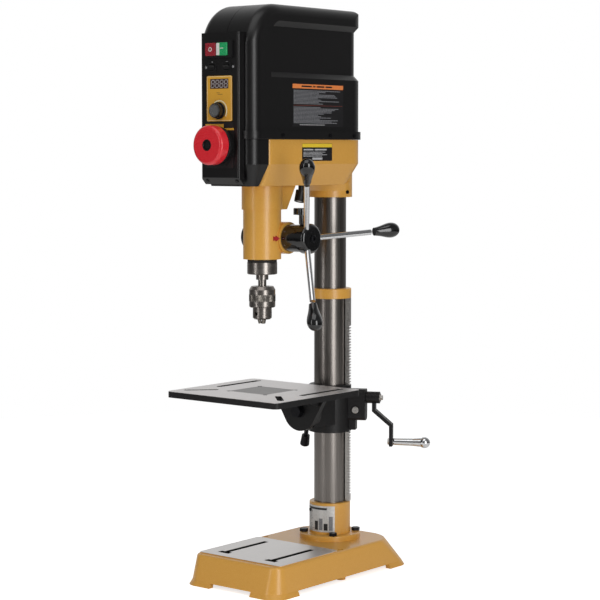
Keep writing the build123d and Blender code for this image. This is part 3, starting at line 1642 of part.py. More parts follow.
estop_radius = 40.3
with BuildPart() as estop_base:
    with BuildSketch(xz(box_front - 1.2)):
        with Locations((0, stop_z)):
            Circle(37)
    extrude(amount=9.5)
    fillet(estop_base.edges().group_by(Axis.Y)[0], 2)
    with BuildSketch(xz(box_front - 1.2)):
        with Locations((0, stop_z)):
            Circle(11)
    extrude(amount=-17)
    with BuildSketch(xz(box_front + 25)):
        with Locations((0, stop_z)):
            Circle(7 + running_gap)
    extrude(amount=60, mode=Mode.SUBTRACT)
save(estop_base, "estop_base")

with BuildPart() as estop_button:
    with BuildSketch(yz(0)):
        with BuildLine():
            back = box_front - 15.8
            rim = estop_radius
            face = back - 24.0
            Polyline((back, 0), (back, 12), (back, rim - 3))
            ThreePointArc((back, rim - 3), (back - 0.9, rim - 0.9), (back - 3, rim))
            Line((back - 3, rim), (back - 17, rim))
            ThreePointArc((back - 17, rim), (face + 2.05, rim - 2.05), (face, rim - 7))
            Polyline((face, rim - 7), (face, 10), (face + 4, 9), (face + 4, 0), (back, 0))
        make_face()
    revolve(axis=Axis((0, 0, 0), (0, 1, 0)))
    with BuildSketch(xz(back)):
        Circle(7)
    extrude(amount=-22)
estop_button.part.position = (0, 0, stop_z)
save(estop_button, "estop_button")

with BuildPart() as cover_screws:
    for side, along in head_cover_screws:
        screw_height = cover_bottom + lip_height / 2
        head_plane = Plane(
            (side * (head_half_width + lip_reach), along, screw_height), z_dir=(side, 0, 0)
        )
        with BuildSketch(head_plane):
            Circle(4)
        extrude(amount=1.6)
        with BuildSketch(head_plane.offset(1.6)):
            Rectangle(5, 1)
            Rectangle(1, 5)
        extrude(amount=-1, mode=Mode.SUBTRACT)
        with BuildSketch(head_plane):
            Circle(2.25)
        extrude(amount=-lip_reach - cover_wall - 6)
    # Two more hold the control box's slanted foot
    slant_middle = (0, box_front + box_slant / 2, box_bottom + box_slant / 2)
    with BuildSketch(Plane(slant_middle, x_dir=(1, 0, 0), z_dir=(0, -1, -1))):
        with Locations((-40, 0), (40, 0)):
            Circle(4)
    extrude(amount=1.5)
save(cover_screws, "cover_screws")

with BuildPart() as circuit_board:
    with BuildSketch(xz(cover_front - 0.3)):
        with Locations((0, 1030)):
            Rectangle(78, 120)
    extrude(amount=1.6)
    with BuildSketch(xz(cover_front - 1.3)):
        with Locations((-24, 1030), (24, 1080)):
            Rectangle(20, 16)
    extrude(amount=3)
    # Speed control that the knob's shaft turns in
    with BuildSketch(xz(cover_front - 1.3)):
        with Locations((0, speed_z)):
            Circle(12)
    extrude(amount=11.5)
    with BuildSketch(xz(cover_front - 1.3)):
        with Locations((0, speed_z)):
            Circle(3 + running_gap)
    extrude(amount=20, mode=Mode.SUBTRACT)
save(circuit_board, "circuit_board")


# ---- Drive: motor, pulleys, belt and the sleeve that carries the spindle's splines -----

motor_y = 58.0
motor_radius = 52.0
motor_plate_z = 958.0
motor_plate_thickness = 8.0
motor_length = 108.0
pulley_z = 1090.0
pulley_height = 26.0
motor_pulley_radius = 20.0
spindle_pulley_radius = 46.0
belt_thickness = 3.0
belt_gap = 0.4
sleeve_radius = 11.5
sleeve_bearing_width = 11.0
motor_shaft_radius = 7.0

with BuildPart() as motor_plate:
    with BuildSketch(xy(motor_plate_z)):
        with Locations((0, (head_front + 60 + head_rear - 12) / 2)):
            RectangleRounded(2 * head_half_width - 30, head_rear - head_front - 72, 12)
        with Locations((0, spindle_y)):
            Circle(sleeve_bearing_radius + 14, mode=Mode.SUBTRACT)
        with Locations((0, motor_y)):
            Circle(20, mode=Mode.SUBTRACT)
    extrude(amount=motor_plate_thickness)
    with BuildSketch(xy(head_seam)):
        with Locations(*motor_post_places):
            Circle(motor_post_radius)
    extrude(amount=motor_plate_z - head_seam)
save(motor_plate, "motor_plate")

motor_bottom = motor_plate_z + motor_plate_thickness
with BuildPart() as motor:
    with BuildSketch(xy(motor_bottom)):
        with Locations((0, motor_y)):
            Circle(motor_radius)
    extrude(amount=motor_length)
    fillet(motor.edges().group_by(Axis.Z)[-1], 6)
    with BuildSketch(xy(motor_bottom + 14)):
        with Locations((0, motor_y)):
            with PolarLocations(motor_radius, 36):
                Rectangle(4, 3)
    extrude(amount=motor_length - 34, mode=Mode.SUBTRACT)
    with BuildSketch(xy(motor_bottom + motor_length - 20)):
        with Locations((0, motor_y)):
            Circle(motor_shaft_radius + running_gap)
    extrude(amount=21, mode=Mode.SUBTRACT)
save(motor, "motor")


def pulley_section(radius, bore):
    """Half section of a ribbed belt pulley, from its bore out to its rims."""
    with BuildSketch(xz(0), mode=Mode.PRIVATE) as section:
        with BuildLine():
            edge = [(bore, pulley_z), (radius + 3, pulley_z), (radius + 3, pulley_z + 2.5)]
            rib = 2.34
            ribs = 8
            start = pulley_z + (pulley_height - ribs * rib) / 2
            for number in range(ribs):
                edge.append((radius, start + number * rib))
                edge.append((radius - 1.6, start + (number + 0.5) * rib))
            edge.append((radius, start + ribs * rib))
            edge += [
                (radius + 3, pulley_z + pulley_height - 2.5),
                (radius + 3, pulley_z + pulley_height),
                (bore, pulley_z + pulley_height),
            ]
            Polyline(*edge, close=True)
        make_face()
    return section.sketch


with BuildPart() as motor_pulley:
    add(pulley_section(motor_pulley_radius, 0))
    revolve(axis=Axis.Z)
    with BuildSketch(xy(motor_bottom + motor_length - 19)):
        Circle(motor_shaft_radius)
    extrude(amount=pulley_z - motor_bottom - motor_length + 20)
motor_pulley.part.position = (0, motor_y, 0)
save(motor_pulley, "motor_pulley")

with BuildPart() as spindle_pulley:
    add(pulley_section(spindle_pulley_radius, 0))
    revolve(axis=Axis.Z)
    with BuildSketch(xy(pulley_z)):
        with PolarLocations((spindle_pulley_radius + sleeve_radius) / 2, 5):
            Circle(8)
    extrude(amount=pulley_height, mode=Mode.SUBTRACT)
    # The long sleeve below it, splined inside for the spindle
    with BuildSketch(xy(quill_guide_top + 4)):
        Circle(sleeve_radius)
    extrude(amount=pulley_z - quill_guide_top - 3)
    with BuildSketch(xy(quill_guide_top + 4)):
        add(spline_profile(running_gap))
    extrude(amount=pulley_z + pulley_height, mode=Mode.SUBTRACT)
spindle_pulley.part.position = (0, spindle_y, 0)
save(spindle_pulley, "spindle_pulley")

with BuildPart() as sleeve_bearings:
    for height in (quill_guide_top + 8, bearing_housing_top - sleeve_bearing_width):
        with BuildSketch(xy(height)):
            with Locations((0, spindle_y)):
                Circle(sleeve_bearing_radius)
                Circle(sleeve_radius + running_gap, mode=Mode.SUBTRACT)
        extrude(amount=sleeve_bearing_width)
save(sleeve_bearings, "sleeve_bearings")

with BuildPart() as drive_belt:
    belt_inset = 5.0
    with BuildSketch(xy(pulley_z + belt_inset)):
        with BuildSketch(mode=Mode.PRIVATE) as outer:
            with Locations((0, spindle_y)):
                Circle(spindle_pulley_radius + belt_gap + belt_thickness)
            with Locations((0, motor_y)):
                Circle(motor_pulley_radius + belt_gap + belt_thickness)
            make_hull()
        with BuildSketch(mode=Mode.PRIVATE) as inner:
            with Locations((0, spindle_y)):
                Circle(spindle_pulley_radius + belt_gap)
            with Locations((0, motor_y)):
                Circle(motor_pulley_radius + belt_gap)
            make_hull()
        add(outer.sketch)
        add(inner.sketch, mode=Mode.SUBTRACT)
    extrude(amount=pulley_height - 2 * belt_inset)
save(drive_belt, "drive_belt")

# ---- Lamps under the head and the cable inlet ------------------------------------------

pod_y = -48.0
pod_x = 34.0
pod_tilt = 16.0
with BuildPart() as lamp_pods:
    for side in (-1, 1):
        with BuildSketch(xy(head_bottom - 14)):
            with Locations((side * pod_x, pod_y)):
                Circle(6)
        extrude(amount=13.8)
        downward = Vector(0, -sin(radians(pod_tilt)), -cos(radians(pod_tilt)))
        with BuildSketch(Plane((side * pod_x, pod_y, head_bottom - 12), z_dir=downward)):
            Circle(11)
            Circle(8.5, mode=Mode.SUBTRACT)
        extrude(amount=24)
        with BuildSketch(Plane((side * pod_x, pod_y, head_bottom - 12), z_dir=downward)):
            Circle(8.5)
        extrude(amount=21)
save(lamp_pods, "lamp_pods")

gland_z = 985.0
gland_x = 30.0
with BuildPart() as cable_gland:
    with BuildSketch(Plane((gland_x, head_rear, gland_z), x_dir=(1, 0, 0), z_dir=(0, 1, 0))):
        RegularPolygon(11, 6)
        Circle(5, mode=Mode.SUBTRACT)
    extrude(amount=6)
    with BuildSketch(Plane((gland_x, head_rear + 6, gland_z), x_dir=(1, 0, 0), z_dir=(0, 1, 0))):
        Circle(8.5)
        Circle(5, mode=Mode.SUBTRACT)
    extrude(amount=9)
save(cable_gland, "cable_gland")
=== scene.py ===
import math
import random

import bmesh
import bpy
from mathutils import Matrix, Vector


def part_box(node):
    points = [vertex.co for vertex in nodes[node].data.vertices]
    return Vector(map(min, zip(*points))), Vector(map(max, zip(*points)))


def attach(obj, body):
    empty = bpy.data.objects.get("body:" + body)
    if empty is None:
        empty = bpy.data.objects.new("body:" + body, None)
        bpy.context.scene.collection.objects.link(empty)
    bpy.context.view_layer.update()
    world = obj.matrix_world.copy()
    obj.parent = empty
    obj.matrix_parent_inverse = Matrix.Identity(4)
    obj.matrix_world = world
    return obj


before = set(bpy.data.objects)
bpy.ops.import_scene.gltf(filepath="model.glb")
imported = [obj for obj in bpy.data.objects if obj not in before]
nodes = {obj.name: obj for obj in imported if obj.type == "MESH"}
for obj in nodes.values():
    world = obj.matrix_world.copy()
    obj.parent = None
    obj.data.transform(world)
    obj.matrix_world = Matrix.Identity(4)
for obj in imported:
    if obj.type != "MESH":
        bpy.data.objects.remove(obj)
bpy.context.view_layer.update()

scene = bpy.context.scene

# ---- Base casting --------------------------------------------------------------------
# One grey-iron casting on four spread feet, sprayed with a thick mustard machine enamel.
# The pad in front of the column is ground bare after painting, so its top is grey iron.


def linear(code):
    """An sRGB hex colour as the linear colour that a shader socket takes."""
    parts = [int(code[i:i + 2], 16) / 255 for i in (1, 3, 5)]
    return [p / 12.92 if p <= 0.04045 else ((p + 0.055) / 1.055) ** 2.4 for p in parts] + [1.0]


def add_node(material, kind, values=(), links=(), **settings):
    """Adds one shader node with its settings, its socket values and its incoming links."""
    made = material.node_tree.nodes.new(kind)
    for name, value in settings.items():
        setattr(made, name, value)
    for socket, value in dict(values).items():
        made.inputs[socket].default_value = value
    for socket, source in dict(links).items():
        material.node_tree.links.new(source, made.inputs[socket])
    return made


def grained(material, size, stretch):
    """Noise from 0 to 1 whose grains have a real size in metres, drawn out along an axis."""
    where = add_node(material, "ShaderNodeTexCoord").outputs["Object"]
    scale = [1 / (size * length) for length in stretch]
    place = add_node(material, "ShaderNodeMapping", {"Scale": scale}, {"Vector": where})
    noise = add_node(
        material, "ShaderNodeTexNoise", {"Scale": 1.0, "Detail": 3.0}, {"Vector": place.outputs[0]}
    )
    return add_node(
        material,
        "ShaderNodeMapRange",
        {"From Min": 0.34, "From Max": 0.66},
        {"Value": noise.outputs["Fac"]},
    ).outputs["Result"]


def finish(name, colours, roughness, grain, depth, stretch=(1, 1, 1), metallic=0.0, sockets=()):
    """A finish that drifts between two colours and two roughnesses over grains of a real
    size, with a relief of a real depth, both in metres."""
    material = bpy.data.materials.new(name)
    material.use_nodes = True
    shader = material.node_tree.nodes["Principled BSDF"]
    shader.inputs["Metallic"].default_value = metallic
    for socket, value in dict(sockets).items():
        shader.inputs[socket].default_value = value
    grains = grained(material, grain, stretch)
    tint = add_node(
        material,
        "ShaderNodeMix",
        {6: linear(colours[0]), 7: linear(colours[1])},
        {0: grains},
        data_type="RGBA",
    )
    tint.name = "tint"
    gloss = add_node(
        material,
        "ShaderNodeMapRange",
        {"To Min": roughness[0], "To Max": roughness[1]},
        {"Value": grains},
    )
    gloss.name = "gloss"
    relief = add_node(material, "ShaderNodeBump", {"Distance": depth}, {"Height": grains})
    link = material.node_tree.links.new
    link(tint.outputs[2], shader.inputs["Base Color"])
    link(gloss.outputs["Result"], shader.inputs["Roughness"])
    link(relief.outputs["Normal"], shader.inputs["Normal"])
    return material


def dress(material, *names):
    """Puts a finish on CAD nodes."""
    for name in names:
        for slot in nodes[name].material_slots:
            slot.material = material


# Machine enamel, sprayed thick: an orange-peel skin of about 2 mm, warm and half glossy
enamel = finish(
    "mustard_machine_enamel",
    ("#D89E42", "#DDA64C"),
    (0.30, 0.42),
    grain=0.0022,
    depth=0.00004,
    sockets={"Coat Weight": 0.25, "Coat Roughness": 0.18},
)


def ground_above(material, height, colours, roughness):
    """Bares the iron of a painted casting above a height: surface-ground, with fine
    lines along Y from the wheel, which take the place of the paint."""
    nodes_in = material.node_tree.nodes
    shader = nodes_in["Principled BSDF"]
    link = material.node_tree.links.new
    where = add_node(material, "ShaderNodeTexCoord").outputs["Object"]
    level = add_node(material, "ShaderNodeSeparateXYZ", (), {0: where}).outputs["Z"]
    bare = add_node(
        material, "ShaderNodeMath", {1: height}, {0: level}, operation="GREATER_THAN"
    ).outputs[0]
    lines = grained(material, 0.0009, (1, 60, 1))
    iron = add_node(
        material,
        "ShaderNodeMix",
        {6: linear(colours[0]), 7: linear(colours[1])},
        {0: lines},
        data_type="RGBA",
    )
    shine = add_node(
        material,
        "ShaderNodeMapRange",
        {"To Min": roughness[0], "To Max": roughness[1]},
        {"Value": lines},
    )
    both = add_node(
        material,
        "ShaderNodeMix",
        (),
        {0: bare, 6: nodes_in["tint"].outputs[2], 7: iron.outputs[2]},
        data_type="RGBA",
    )
    both_gloss = add_node(
        material,
        "ShaderNodeMix",
        (),
        {0: bare, 2: nodes_in["gloss"].outputs["Result"], 3: shine.outputs["Result"]},
    )
    link(both.outputs[2], shader.inputs["Base Color"])
    link(both_gloss.outputs[0], shader.inputs["Roughness"])
    link(bare, shader.inputs["Metallic"])


pad_bare_above = 0.0662
pad_half_width = 0.106
pad_middle, pad_half_length = -0.116, 0.090
base_enamel = enamel.copy()
base_enamel.name = "mustard_enamel_with_ground_pad"
ground_above(base_enamel, pad_bare_above, ("#C9C6C4", "#D8D5D3"), (0.34, 0.50))
dress(base_enamel, "base")

# The T-slots are painted dark as painted shade in their recesses: everything within the pad's
# outline below its top
where = add_node(base_enamel, "ShaderNodeTexCoord").outputs["Object"]
place = add_node(base_enamel, "ShaderNodeSeparateXYZ", (), {0: where}).outputs
across = add_node(
    base_enamel,
    "ShaderNodeMath",
    {1: 0.0, 2: pad_half_width},
    {0: place["X"]},
    operation="COMPARE",
).outputs[0]
along = add_node(
    base_enamel,
    "ShaderNodeMath",
    {1: pad_middle, 2: pad_half_length},
    {0: place["Y"]},
    operation="COMPARE",
).outputs[0]
below = add_node(
    base_enamel, "ShaderNodeMath", {1: pad_bare_above}, {0: place["Z"]}, operation="LESS_THAN"
).outputs[0]
within = add_node(
    base_enamel, "ShaderNodeMath", (), {0: across, 1: along}, operation="MULTIPLY"
).outputs[0]
painted_slot_shade = add_node(
    base_enamel, "ShaderNodeMath", (), {0: within, 1: below}, operation="MULTIPLY"
).outputs[0]
base_shader = base_enamel.node_tree.nodes["Principled BSDF"]
painted = base_shader.inputs["Base Color"].links[0].from_socket
with_painted_slot_shade = add_node(
    base_enamel, "ShaderNodeMix", {7: linear("#1A1512")}, {0: painted_slot_shade, 6: painted},
    data_type="RGBA",
)
base_enamel.node_tree.links.new(with_painted_slot_shade.outputs[2], base_shader.inputs["Base Color"])

# ---- Column flange, column and rack --------------------------------------------------
# A bolted flange holds a ground steel tube. The rack stands beside it, held below by
# the flange and above by a painted ring, and a printed rating label wraps the socket.

dress(enamel, "column_flange", "rack_ring")

# Steel tube, centreless ground: close rings round it and long faint streaks along it
column_steel = finish(
    "centreless_ground_steel",
    ("#76716D", "#8A8581"),
    (0.27, 0.34),
    grain=0.0012,
    depth=0.000002,
    stretch=(1, 1, 150),
    metallic=1.0,
)
dress(column_steel, "column")

# Bar steel, milled: short lines across the cut, brighter than the tube
milled_steel = finish(
    "milled_bar_steel",
    ("#A09D99", "#C9C6C2"),
    (0.26, 0.42),
    grain=0.0007,
    depth=0.000006,
    stretch=(6, 6, 1),
    metallic=1.0,
)
dress(milled_steel, "rack", "lift_gear", "gear_axle", "worm_shaft", "crank_screws")

# Black oxide on steel screws: a dark blue-black skin with a little shine
black_oxide = finish(
    "black_oxide_on_steel",
    ("#17171A", "#26262A"),
    (0.32, 0.48),
    grain=0.0008,
    depth=0.00001,
    metallic=0.75,
)
dress(black_oxide, "flange_bolts", "set_screws", "tilt_bolt", "hub_screw", "cover_screws")


def join(form, part, place=None, finish_index=0):
    """Closes a part, turns its faces outwards and adds it to a form at its place."""
    bmesh.ops.remove_doubles(part, verts=part.verts[:], dist=1e-7)
    bmesh.ops.recalc_face_normals(part, faces=part.faces[:])
    if place is not None:
        bmesh.ops.transform(part, matrix=place, verts=part.verts[:])
    for face in part.faces:
        face.material_index = finish_index
    carrier = bpy.data.meshes.new("carrier")
    part.to_mesh(carrier)
    part.free()
    form.from_mesh(carrier)
    bpy.data.meshes.remove(carrier)


def band(form, radii, heights, angles, place=None, steps=24, finish_index=0):
    """A rectangular section swept about the local Z axis between two angles in degrees."""
    part = bmesh.new()
    corners = [(radii[0], heights[0]), (radii[1], heights[0]), (radii[1], heights[1]),
               (radii[0], heights[1])]
    loop = [part.verts.new((radius, 0, height)) for radius, height in corners]
    edges = [part.edges.new((loop[i], loop[(i + 1) % 4])) for i in range(4)]
    turn = Matrix.Rotation(math.radians(angles[0]), 3, "Z")
    bmesh.ops.rotate(part, cent=(0, 0, 0), matrix=turn, verts=loop)
    sweep = angles[1] - angles[0]
    bmesh.ops.spin(
        part,
        geom=loop + edges,
        cent=(0, 0, 0),
        axis=(0, 0, 1),
        angle=math.radians(sweep),
        steps=steps,
        use_merge=sweep >= 360,
    )
    if sweep < 360:
        bmesh.ops.holes_fill(part, edges=[e for e in part.edges if e.is_boundary], sides=4)
    join(form, part, place, finish_index)


def stand_piece(name, form, body, slot, *finishes):
    """Makes the finished form an object that rides on a body."""
    mesh = bpy.data.meshes.new(name)
    form.to_mesh(mesh)
    form.free()
    for material in finishes:
        mesh.materials.append(material)
    mesh.shade_smooth()
    mesh.set_sharp_from_angle(angle=math.radians(32))
    piece = bpy.data.objects.new(name, mesh)
    scene.collection.objects.link(piece)
    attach(piece, body)
    return piece


# Label film, printed: smooth vinyl with a faint orange peel
silver_film = finish(
    "silver_label_film",
    ("#C4C3C2", "#D6D5D3"),
    (0.28, 0.40),
    grain=0.003,
    depth=0.00001,
    metallic=0.35,
)
black_ink = finish(
    "black_printing_ink", ("#1B1A1C", "#262528"), (0.34, 0.46), grain=0.002, depth=0.000005
)
grey_ink = finish(
    "grey_printing_ink", ("#6F7074", "#86878B"), (0.42, 0.55), grain=0.002, depth=0.000005
)
column_low, column_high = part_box("column")
column_axis = (column_low + column_high) / 2
socket_radius = 0.0453
label_low, label_high = 0.082, 0.140
label_film, label_print = 0.0002, 0.00032
title_low, title_high = 0.1315, 0.1360
first_row, row_pitch, row_height = 0.1275, 0.0031, 0.0012
word_gap = 1.6
picture_foot = 0.086
picture_heights = (0.020, 0.026, 0.015, 0.031)
picture_width, picture_pitch = 11, 14.5
rating_label = bmesh.new()
socket_place = Matrix.Translation((0, column_axis.y, 0)) @ Matrix.Rotation(
    math.radians(-90), 4, "Z"
)
film_radii = (socket_radius, socket_radius + label_film)
band(rating_label, film_radii, (label_low, label_high), (-50, 52), socket_place)
print_radii = (socket_radius, socket_radius + label_print)
band(rating_label, print_radii, (title_low, title_high), (-46, 30), socket_place, 16, 1)
random.seed(11)
for row in range(13):
    height = first_row - row_pitch * row
    start = -46.0
    for _ in range(3):
        end = start + random.uniform(4, 11)
        band(
            rating_label, print_radii, (height - row_height, height), (start, end), socket_place,
            3, 2,
        )
        start = end + word_gap
for number, tall in enumerate(picture_heights):
    start = -8.0 + picture_pitch * number
    band(
        rating_label, print_radii, (picture_foot, picture_foot + tall),
        (start, start + picture_width), socket_place, 4, 1 + number % 2,
    )
stand_piece(
    "rating_label", rating_label, "stand", "silver_plastic", silver_film, black_ink, grey_ink
)

# ---- Table bracket and crank ---------------------------------------------------------
# Iron castings in satin black paint: a split collar with a gearbox, and a bent crank arm
# whose chromed handle spins on its screw.

# Satin paint over cast iron: the sand's grain of about 1.5 mm shows through it
casting_black = finish(
    "satin_black_paint_on_iron",
    ("#0E0D0E", "#151415"),
    (0.38, 0.54),
    grain=0.0016,
    depth=0.00009,
    sockets={"Specular IOR Level": 0.3, "Coat Weight": 0.05, "Coat Roughness": 0.35},
)
dress(casting_black, "table_bracket", "crank_arm", "motor_plate")
dress(black_oxide, "table_lock_lever")

# Chrome plate over polished steel: a bright mirror with a faint draw along it
chrome = finish(
    "chrome_plate",
    ("#D5D6D8", "#E4E5E7"),
    (0.05, 0.11),
    grain=0.004,
    depth=0.000004,
    metallic=1.0,
)
dress(chrome, "crank_grip", "feed_spokes")

# ---- Table and insert ----------------------------------------------------------------
# A slotted iron casting, painted black all over and then ground on top, with a loose
# steel insert under the spindle that is a shade darker.

table_bare_above = 0.4144
table_paint = casting_black.copy()
table_paint.name = "black_painted_iron_with_ground_top"
ground_above(table_paint, table_bare_above, ("#CBC8C7", "#DBD8D7"), (0.34, 0.48))
dress(table_paint, "table")
insert_steel = finish(
    "ground_insert_steel",
    ("#6E6C6B", "#807E7D"),
    (0.34, 0.48),
    grain=0.0009,
    depth=0.000005,
    stretch=(60, 1, 1),
    metallic=1.0,
)
dress(insert_steel, "table_insert")

# ---- Head casting --------------------------------------------------------------------
# The yellow iron box that carries everything on top of the column, with the quill barrel
# in front, the column socket behind and a printed plate on its side.

dress(enamel, "head_casting")


def block(form, low, high, corner=0.0, finish_index=0, place=None):
    """A thin printed or moulded bar between two corners, its short edges rounded."""
    part = bmesh.new()
    low, high = Vector(low), Vector(high)
    size = high - low
    shape = Matrix.Translation((low + high) / 2) @ Matrix.Diagonal((*size, 1))
    bmesh.ops.create_cube(part, size=1.0, matrix=shape)
    if corner:
        thin = min(range(3), key=lambda axis: size[axis])
        upright = [
            e
            for e in part.edges
            if abs((e.verts[0].co - e.verts[1].co)[thin]) > size[thin] / 2
        ]
        bmesh.ops.bevel(
            part,
            geom=upright,
            offset=corner,
            offset_type="OFFSET",
            affect="EDGES",
            segments=4,
            profile=0.5,
            material=-1,
        )
    join(form, part, place, finish_index)


small_print = 0.00008


def printed_rows(form, face, rows, across, pitch, thick, finish_index, ragged=0.75):
    """Rows of short bars that stand for small print, on a face that looks along +X."""
    for top in rows:
        start = across[0]
        end = across[0] + (across[1] - across[0]) * random.uniform(ragged, 1.0)
        while start < end:
            width = min(random.uniform(0.003, 0.009), end - start)
            block(
                form, (face, start, top - thick), (face + small_print, start + width, top),
                finish_index=finish_index,
            )
            start += width + pitch


yellow_ink = finish(
    "yellow_printing_ink", ("#E9C62D", "#F0CF3A"), (0.34, 0.46), grain=0.002, depth=0.000005
)
film_black = finish(
    "black_label_film", ("#121113", "#1A191B"), (0.30, 0.42), grain=0.003, depth=0.00001
)
pale_ink = finish(
    "pale_printing_ink", ("#A9A9AB", "#BDBDBF"), (0.42, 0.55), grain=0.002, depth=0.000005
)
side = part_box("head_casting")[1].x
plate_film = 0.00025
printed = side + plate_film
inked = printed + 0.0001
casting_label = bmesh.new()
block(casting_label, (side, -0.094, 0.8995), (printed, 0.007, 0.9360), corner=0.0015)
block(casting_label, (printed, -0.0935, 0.9280), (inked, 0.0065, 0.9356), 0.001, 1)
block(casting_label, (printed, -0.089, 0.9215), (inked, -0.057, 0.9245), 0.0004, 2)
block(casting_label, (printed, -0.052, 0.9215), (inked, -0.012, 0.9245), 0.0004, 2)
printed_rows(
    casting_label, printed, [0.9185 - 0.0028 * i for i in range(4)], (-0.090, -0.010), 0.001,
    0.0013, 2,
)
block(casting_label, (printed, -0.060, 0.9020), (inked, -0.026, 0.9065), 0.0004, 2)
stand_piece(
    "casting_label", casting_label, "stand", "yellow_plate", film_black, yellow_ink, pale_ink
)

# ---- Lamps and cable gland -----------------------------------------------------------
# Two small lamp pods on swivels under the head, moulded in black, each with a clear lens.

black_abs_fine = finish(
    "moulded_black_nylon", ("#0F0F10", "#151516"), (0.36, 0.48), grain=0.0009, depth=0.00002,
    sockets={"Specular IOR Level": 0.32},
)
dress(black_abs_fine, "lamp_pods", "cable_gland")
lens = finish(
    "clear_lamp_lens",
    ("#D8D6CC", "#E6E4DB"),
    (0.08, 0.16),
    grain=0.0012,
    depth=0.00003,
    sockets={"Coat Weight": 0.6, "Coat Roughness": 0.05},
)
pod_tilt = math.radians(16)
lens_radius, bulb_radius, smallest = 0.0080, 0.0040, 0.0002
pod_lenses = bmesh.new()
for pod_side in (-1, 1):
    pod_top = Vector((pod_side * 0.034, -0.048, 0.836))
    looking = Matrix.Translation(pod_top) @ Matrix.Rotation(-pod_tilt, 4, "X")
    band(pod_lenses, (smallest, lens_radius), (-0.0224, -0.0211), (0, 360), looking, 32)
    band(pod_lenses, (smallest, bulb_radius), (-0.0231, -0.0223), (0, 360), looking, 24)
stand_piece("pod_lenses", pod_lenses, "stand", "display", lens)

# ---- Quill, spindle and chuck --------------------------------------------------------
# Turned and ground steel. The chuck's loose outer sleeve has a rolled knurl for the hand
# and turns the nut that drives the three jaws.

# Turned steel: rings about 0.6 mm apart round each piece, from the lathe
turned_steel = finish(
    "turned_steel",
    ("#88827D", "#9A948F"),
    (0.27, 0.34),
    grain=0.0006,
    depth=0.0000015,
    stretch=(40, 40, 1),
    metallic=1.0,
)
dress(
    turned_steel, "quill", "spindle", "chuck_body", "chuck_sleeve", "quill_bearings",
    "sleeve_bearings",
)
jaw_steel = finish(
    "hardened_jaw_steel",
    ("#757069", "#87827C"),
    (0.28, 0.34),
    grain=0.0005,
    depth=0.000002,
    metallic=1.0,
)
dress(jaw_steel, "chuck_jaw_1", "chuck_jaw_2", "chuck_jaw_3")
rubber = finish(
    "black_rubber", ("#121212", "#1B1B1B"), (0.62, 0.80), grain=0.0012, depth=0.00004
)
dress(rubber, "quill_bumper", "drive_belt")

sleeve_low, sleeve_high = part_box("chuck_sleeve")
sleeve_axis = (sleeve_low + sleeve_high) / 2
knurl_ridges = 72
knurl = bmesh.new()
crest, root, knurl_inside = 0.02800, 0.02742, 0.0272
knurl_foot, knurl_middle = 0.6052, 0.610
ridge_loop = bmesh.ops.create_circle(knurl, segments=2 * knurl_ridges, radius=crest)["verts"]
for number, point in enumerate(ridge_loop):
    if number % 2:
        point.co *= root / crest
bmesh.ops.translate(
    knurl, verts=ridge_loop, vec=(sleeve_axis.x, sleeve_axis.y, knurl_foot)
)
ridge_edges = knurl.edges[:]
for rise, twist in ((0.0035, 2.5), (0.0035, -2.5), (0.0035, 2.5), (0.0035, -2.5)):
    raised = bmesh.ops.extrude_edge_only(knurl, edges=ridge_edges)["geom"]
    ridge_edges = [item for item in raised if isinstance(item, bmesh.types.BMEdge)]
    lifted = [item for item in raised if isinstance(item, bmesh.types.BMVert)]
    bmesh.ops.translate(knurl, verts=lifted, vec=(0, 0, rise))
    bmesh.ops.rotate(
        knurl,
        cent=(sleeve_axis.x, sleeve_axis.y, 0),
        matrix=Matrix.Rotation(math.radians(twist), 3, "Z"),
        verts=lifted,
    )
for rim in (
    [e for e in knurl.edges if e.is_boundary and e.verts[0].co.z < knurl_middle],
    [e for e in knurl.edges if e.is_boundary and e.verts[0].co.z > knurl_middle],
):
    inward = bmesh.ops.extrude_edge_only(knurl, edges=rim)["geom"]
    for point in (item for item in inward if isinstance(item, bmesh.types.BMVert)):
        out = Vector((point.co.x - sleeve_axis.x, point.co.y - sleeve_axis.y, 0)).normalized()
        point.co.x = sleeve_axis.x + knurl_inside * out.x
        point.co.y = sleeve_axis.y + knurl_inside * out.y
bmesh.ops.recalc_face_normals(knurl, faces=knurl.faces[:])
stand_piece("chuck_knurl", knurl, "chuck_sleeve", "bright_steel", jaw_steel)

# ---- Feed shaft, depth dial, hub and handles -----------------------------------------
# The feed shaft crosses behind the quill. A moulded dial and hub sit on its end, with
# three chromed spokes and turned phenolic knobs. A red pointer reads the dial.

# Phenolic resin, compression moulded and polished: deep black with a wet shine
phenolic = finish(
    "polished_black_phenolic",
    ("#0B0B0C", "#121213"),
    (0.08, 0.16),
    grain=0.008,
    depth=0.00002,
    sockets={"Coat Weight": 0.5, "Coat Roughness": 0.06},
)
dress(phenolic, "feed_knobs", "feed_hub", "depth_dial", "depth_lock_knob")
dress(turned_steel, "feed_shaft")
spring_lacquer = finish(
    "black_lacquered_cap", ("#131315", "#1D1D20"), (0.26, 0.38), grain=0.0014, depth=0.00002,
    sockets={"Coat Weight": 0.3, "Coat Roughness": 0.15},
)
dress(spring_lacquer, "spring_cap")
spring_steel = finish(
    "blued_spring_steel", ("#3B4048", "#565C66"), (0.24, 0.38), grain=0.001, depth=0.00001,
    metallic=1.0,
)
dress(spring_steel, "return_spring")

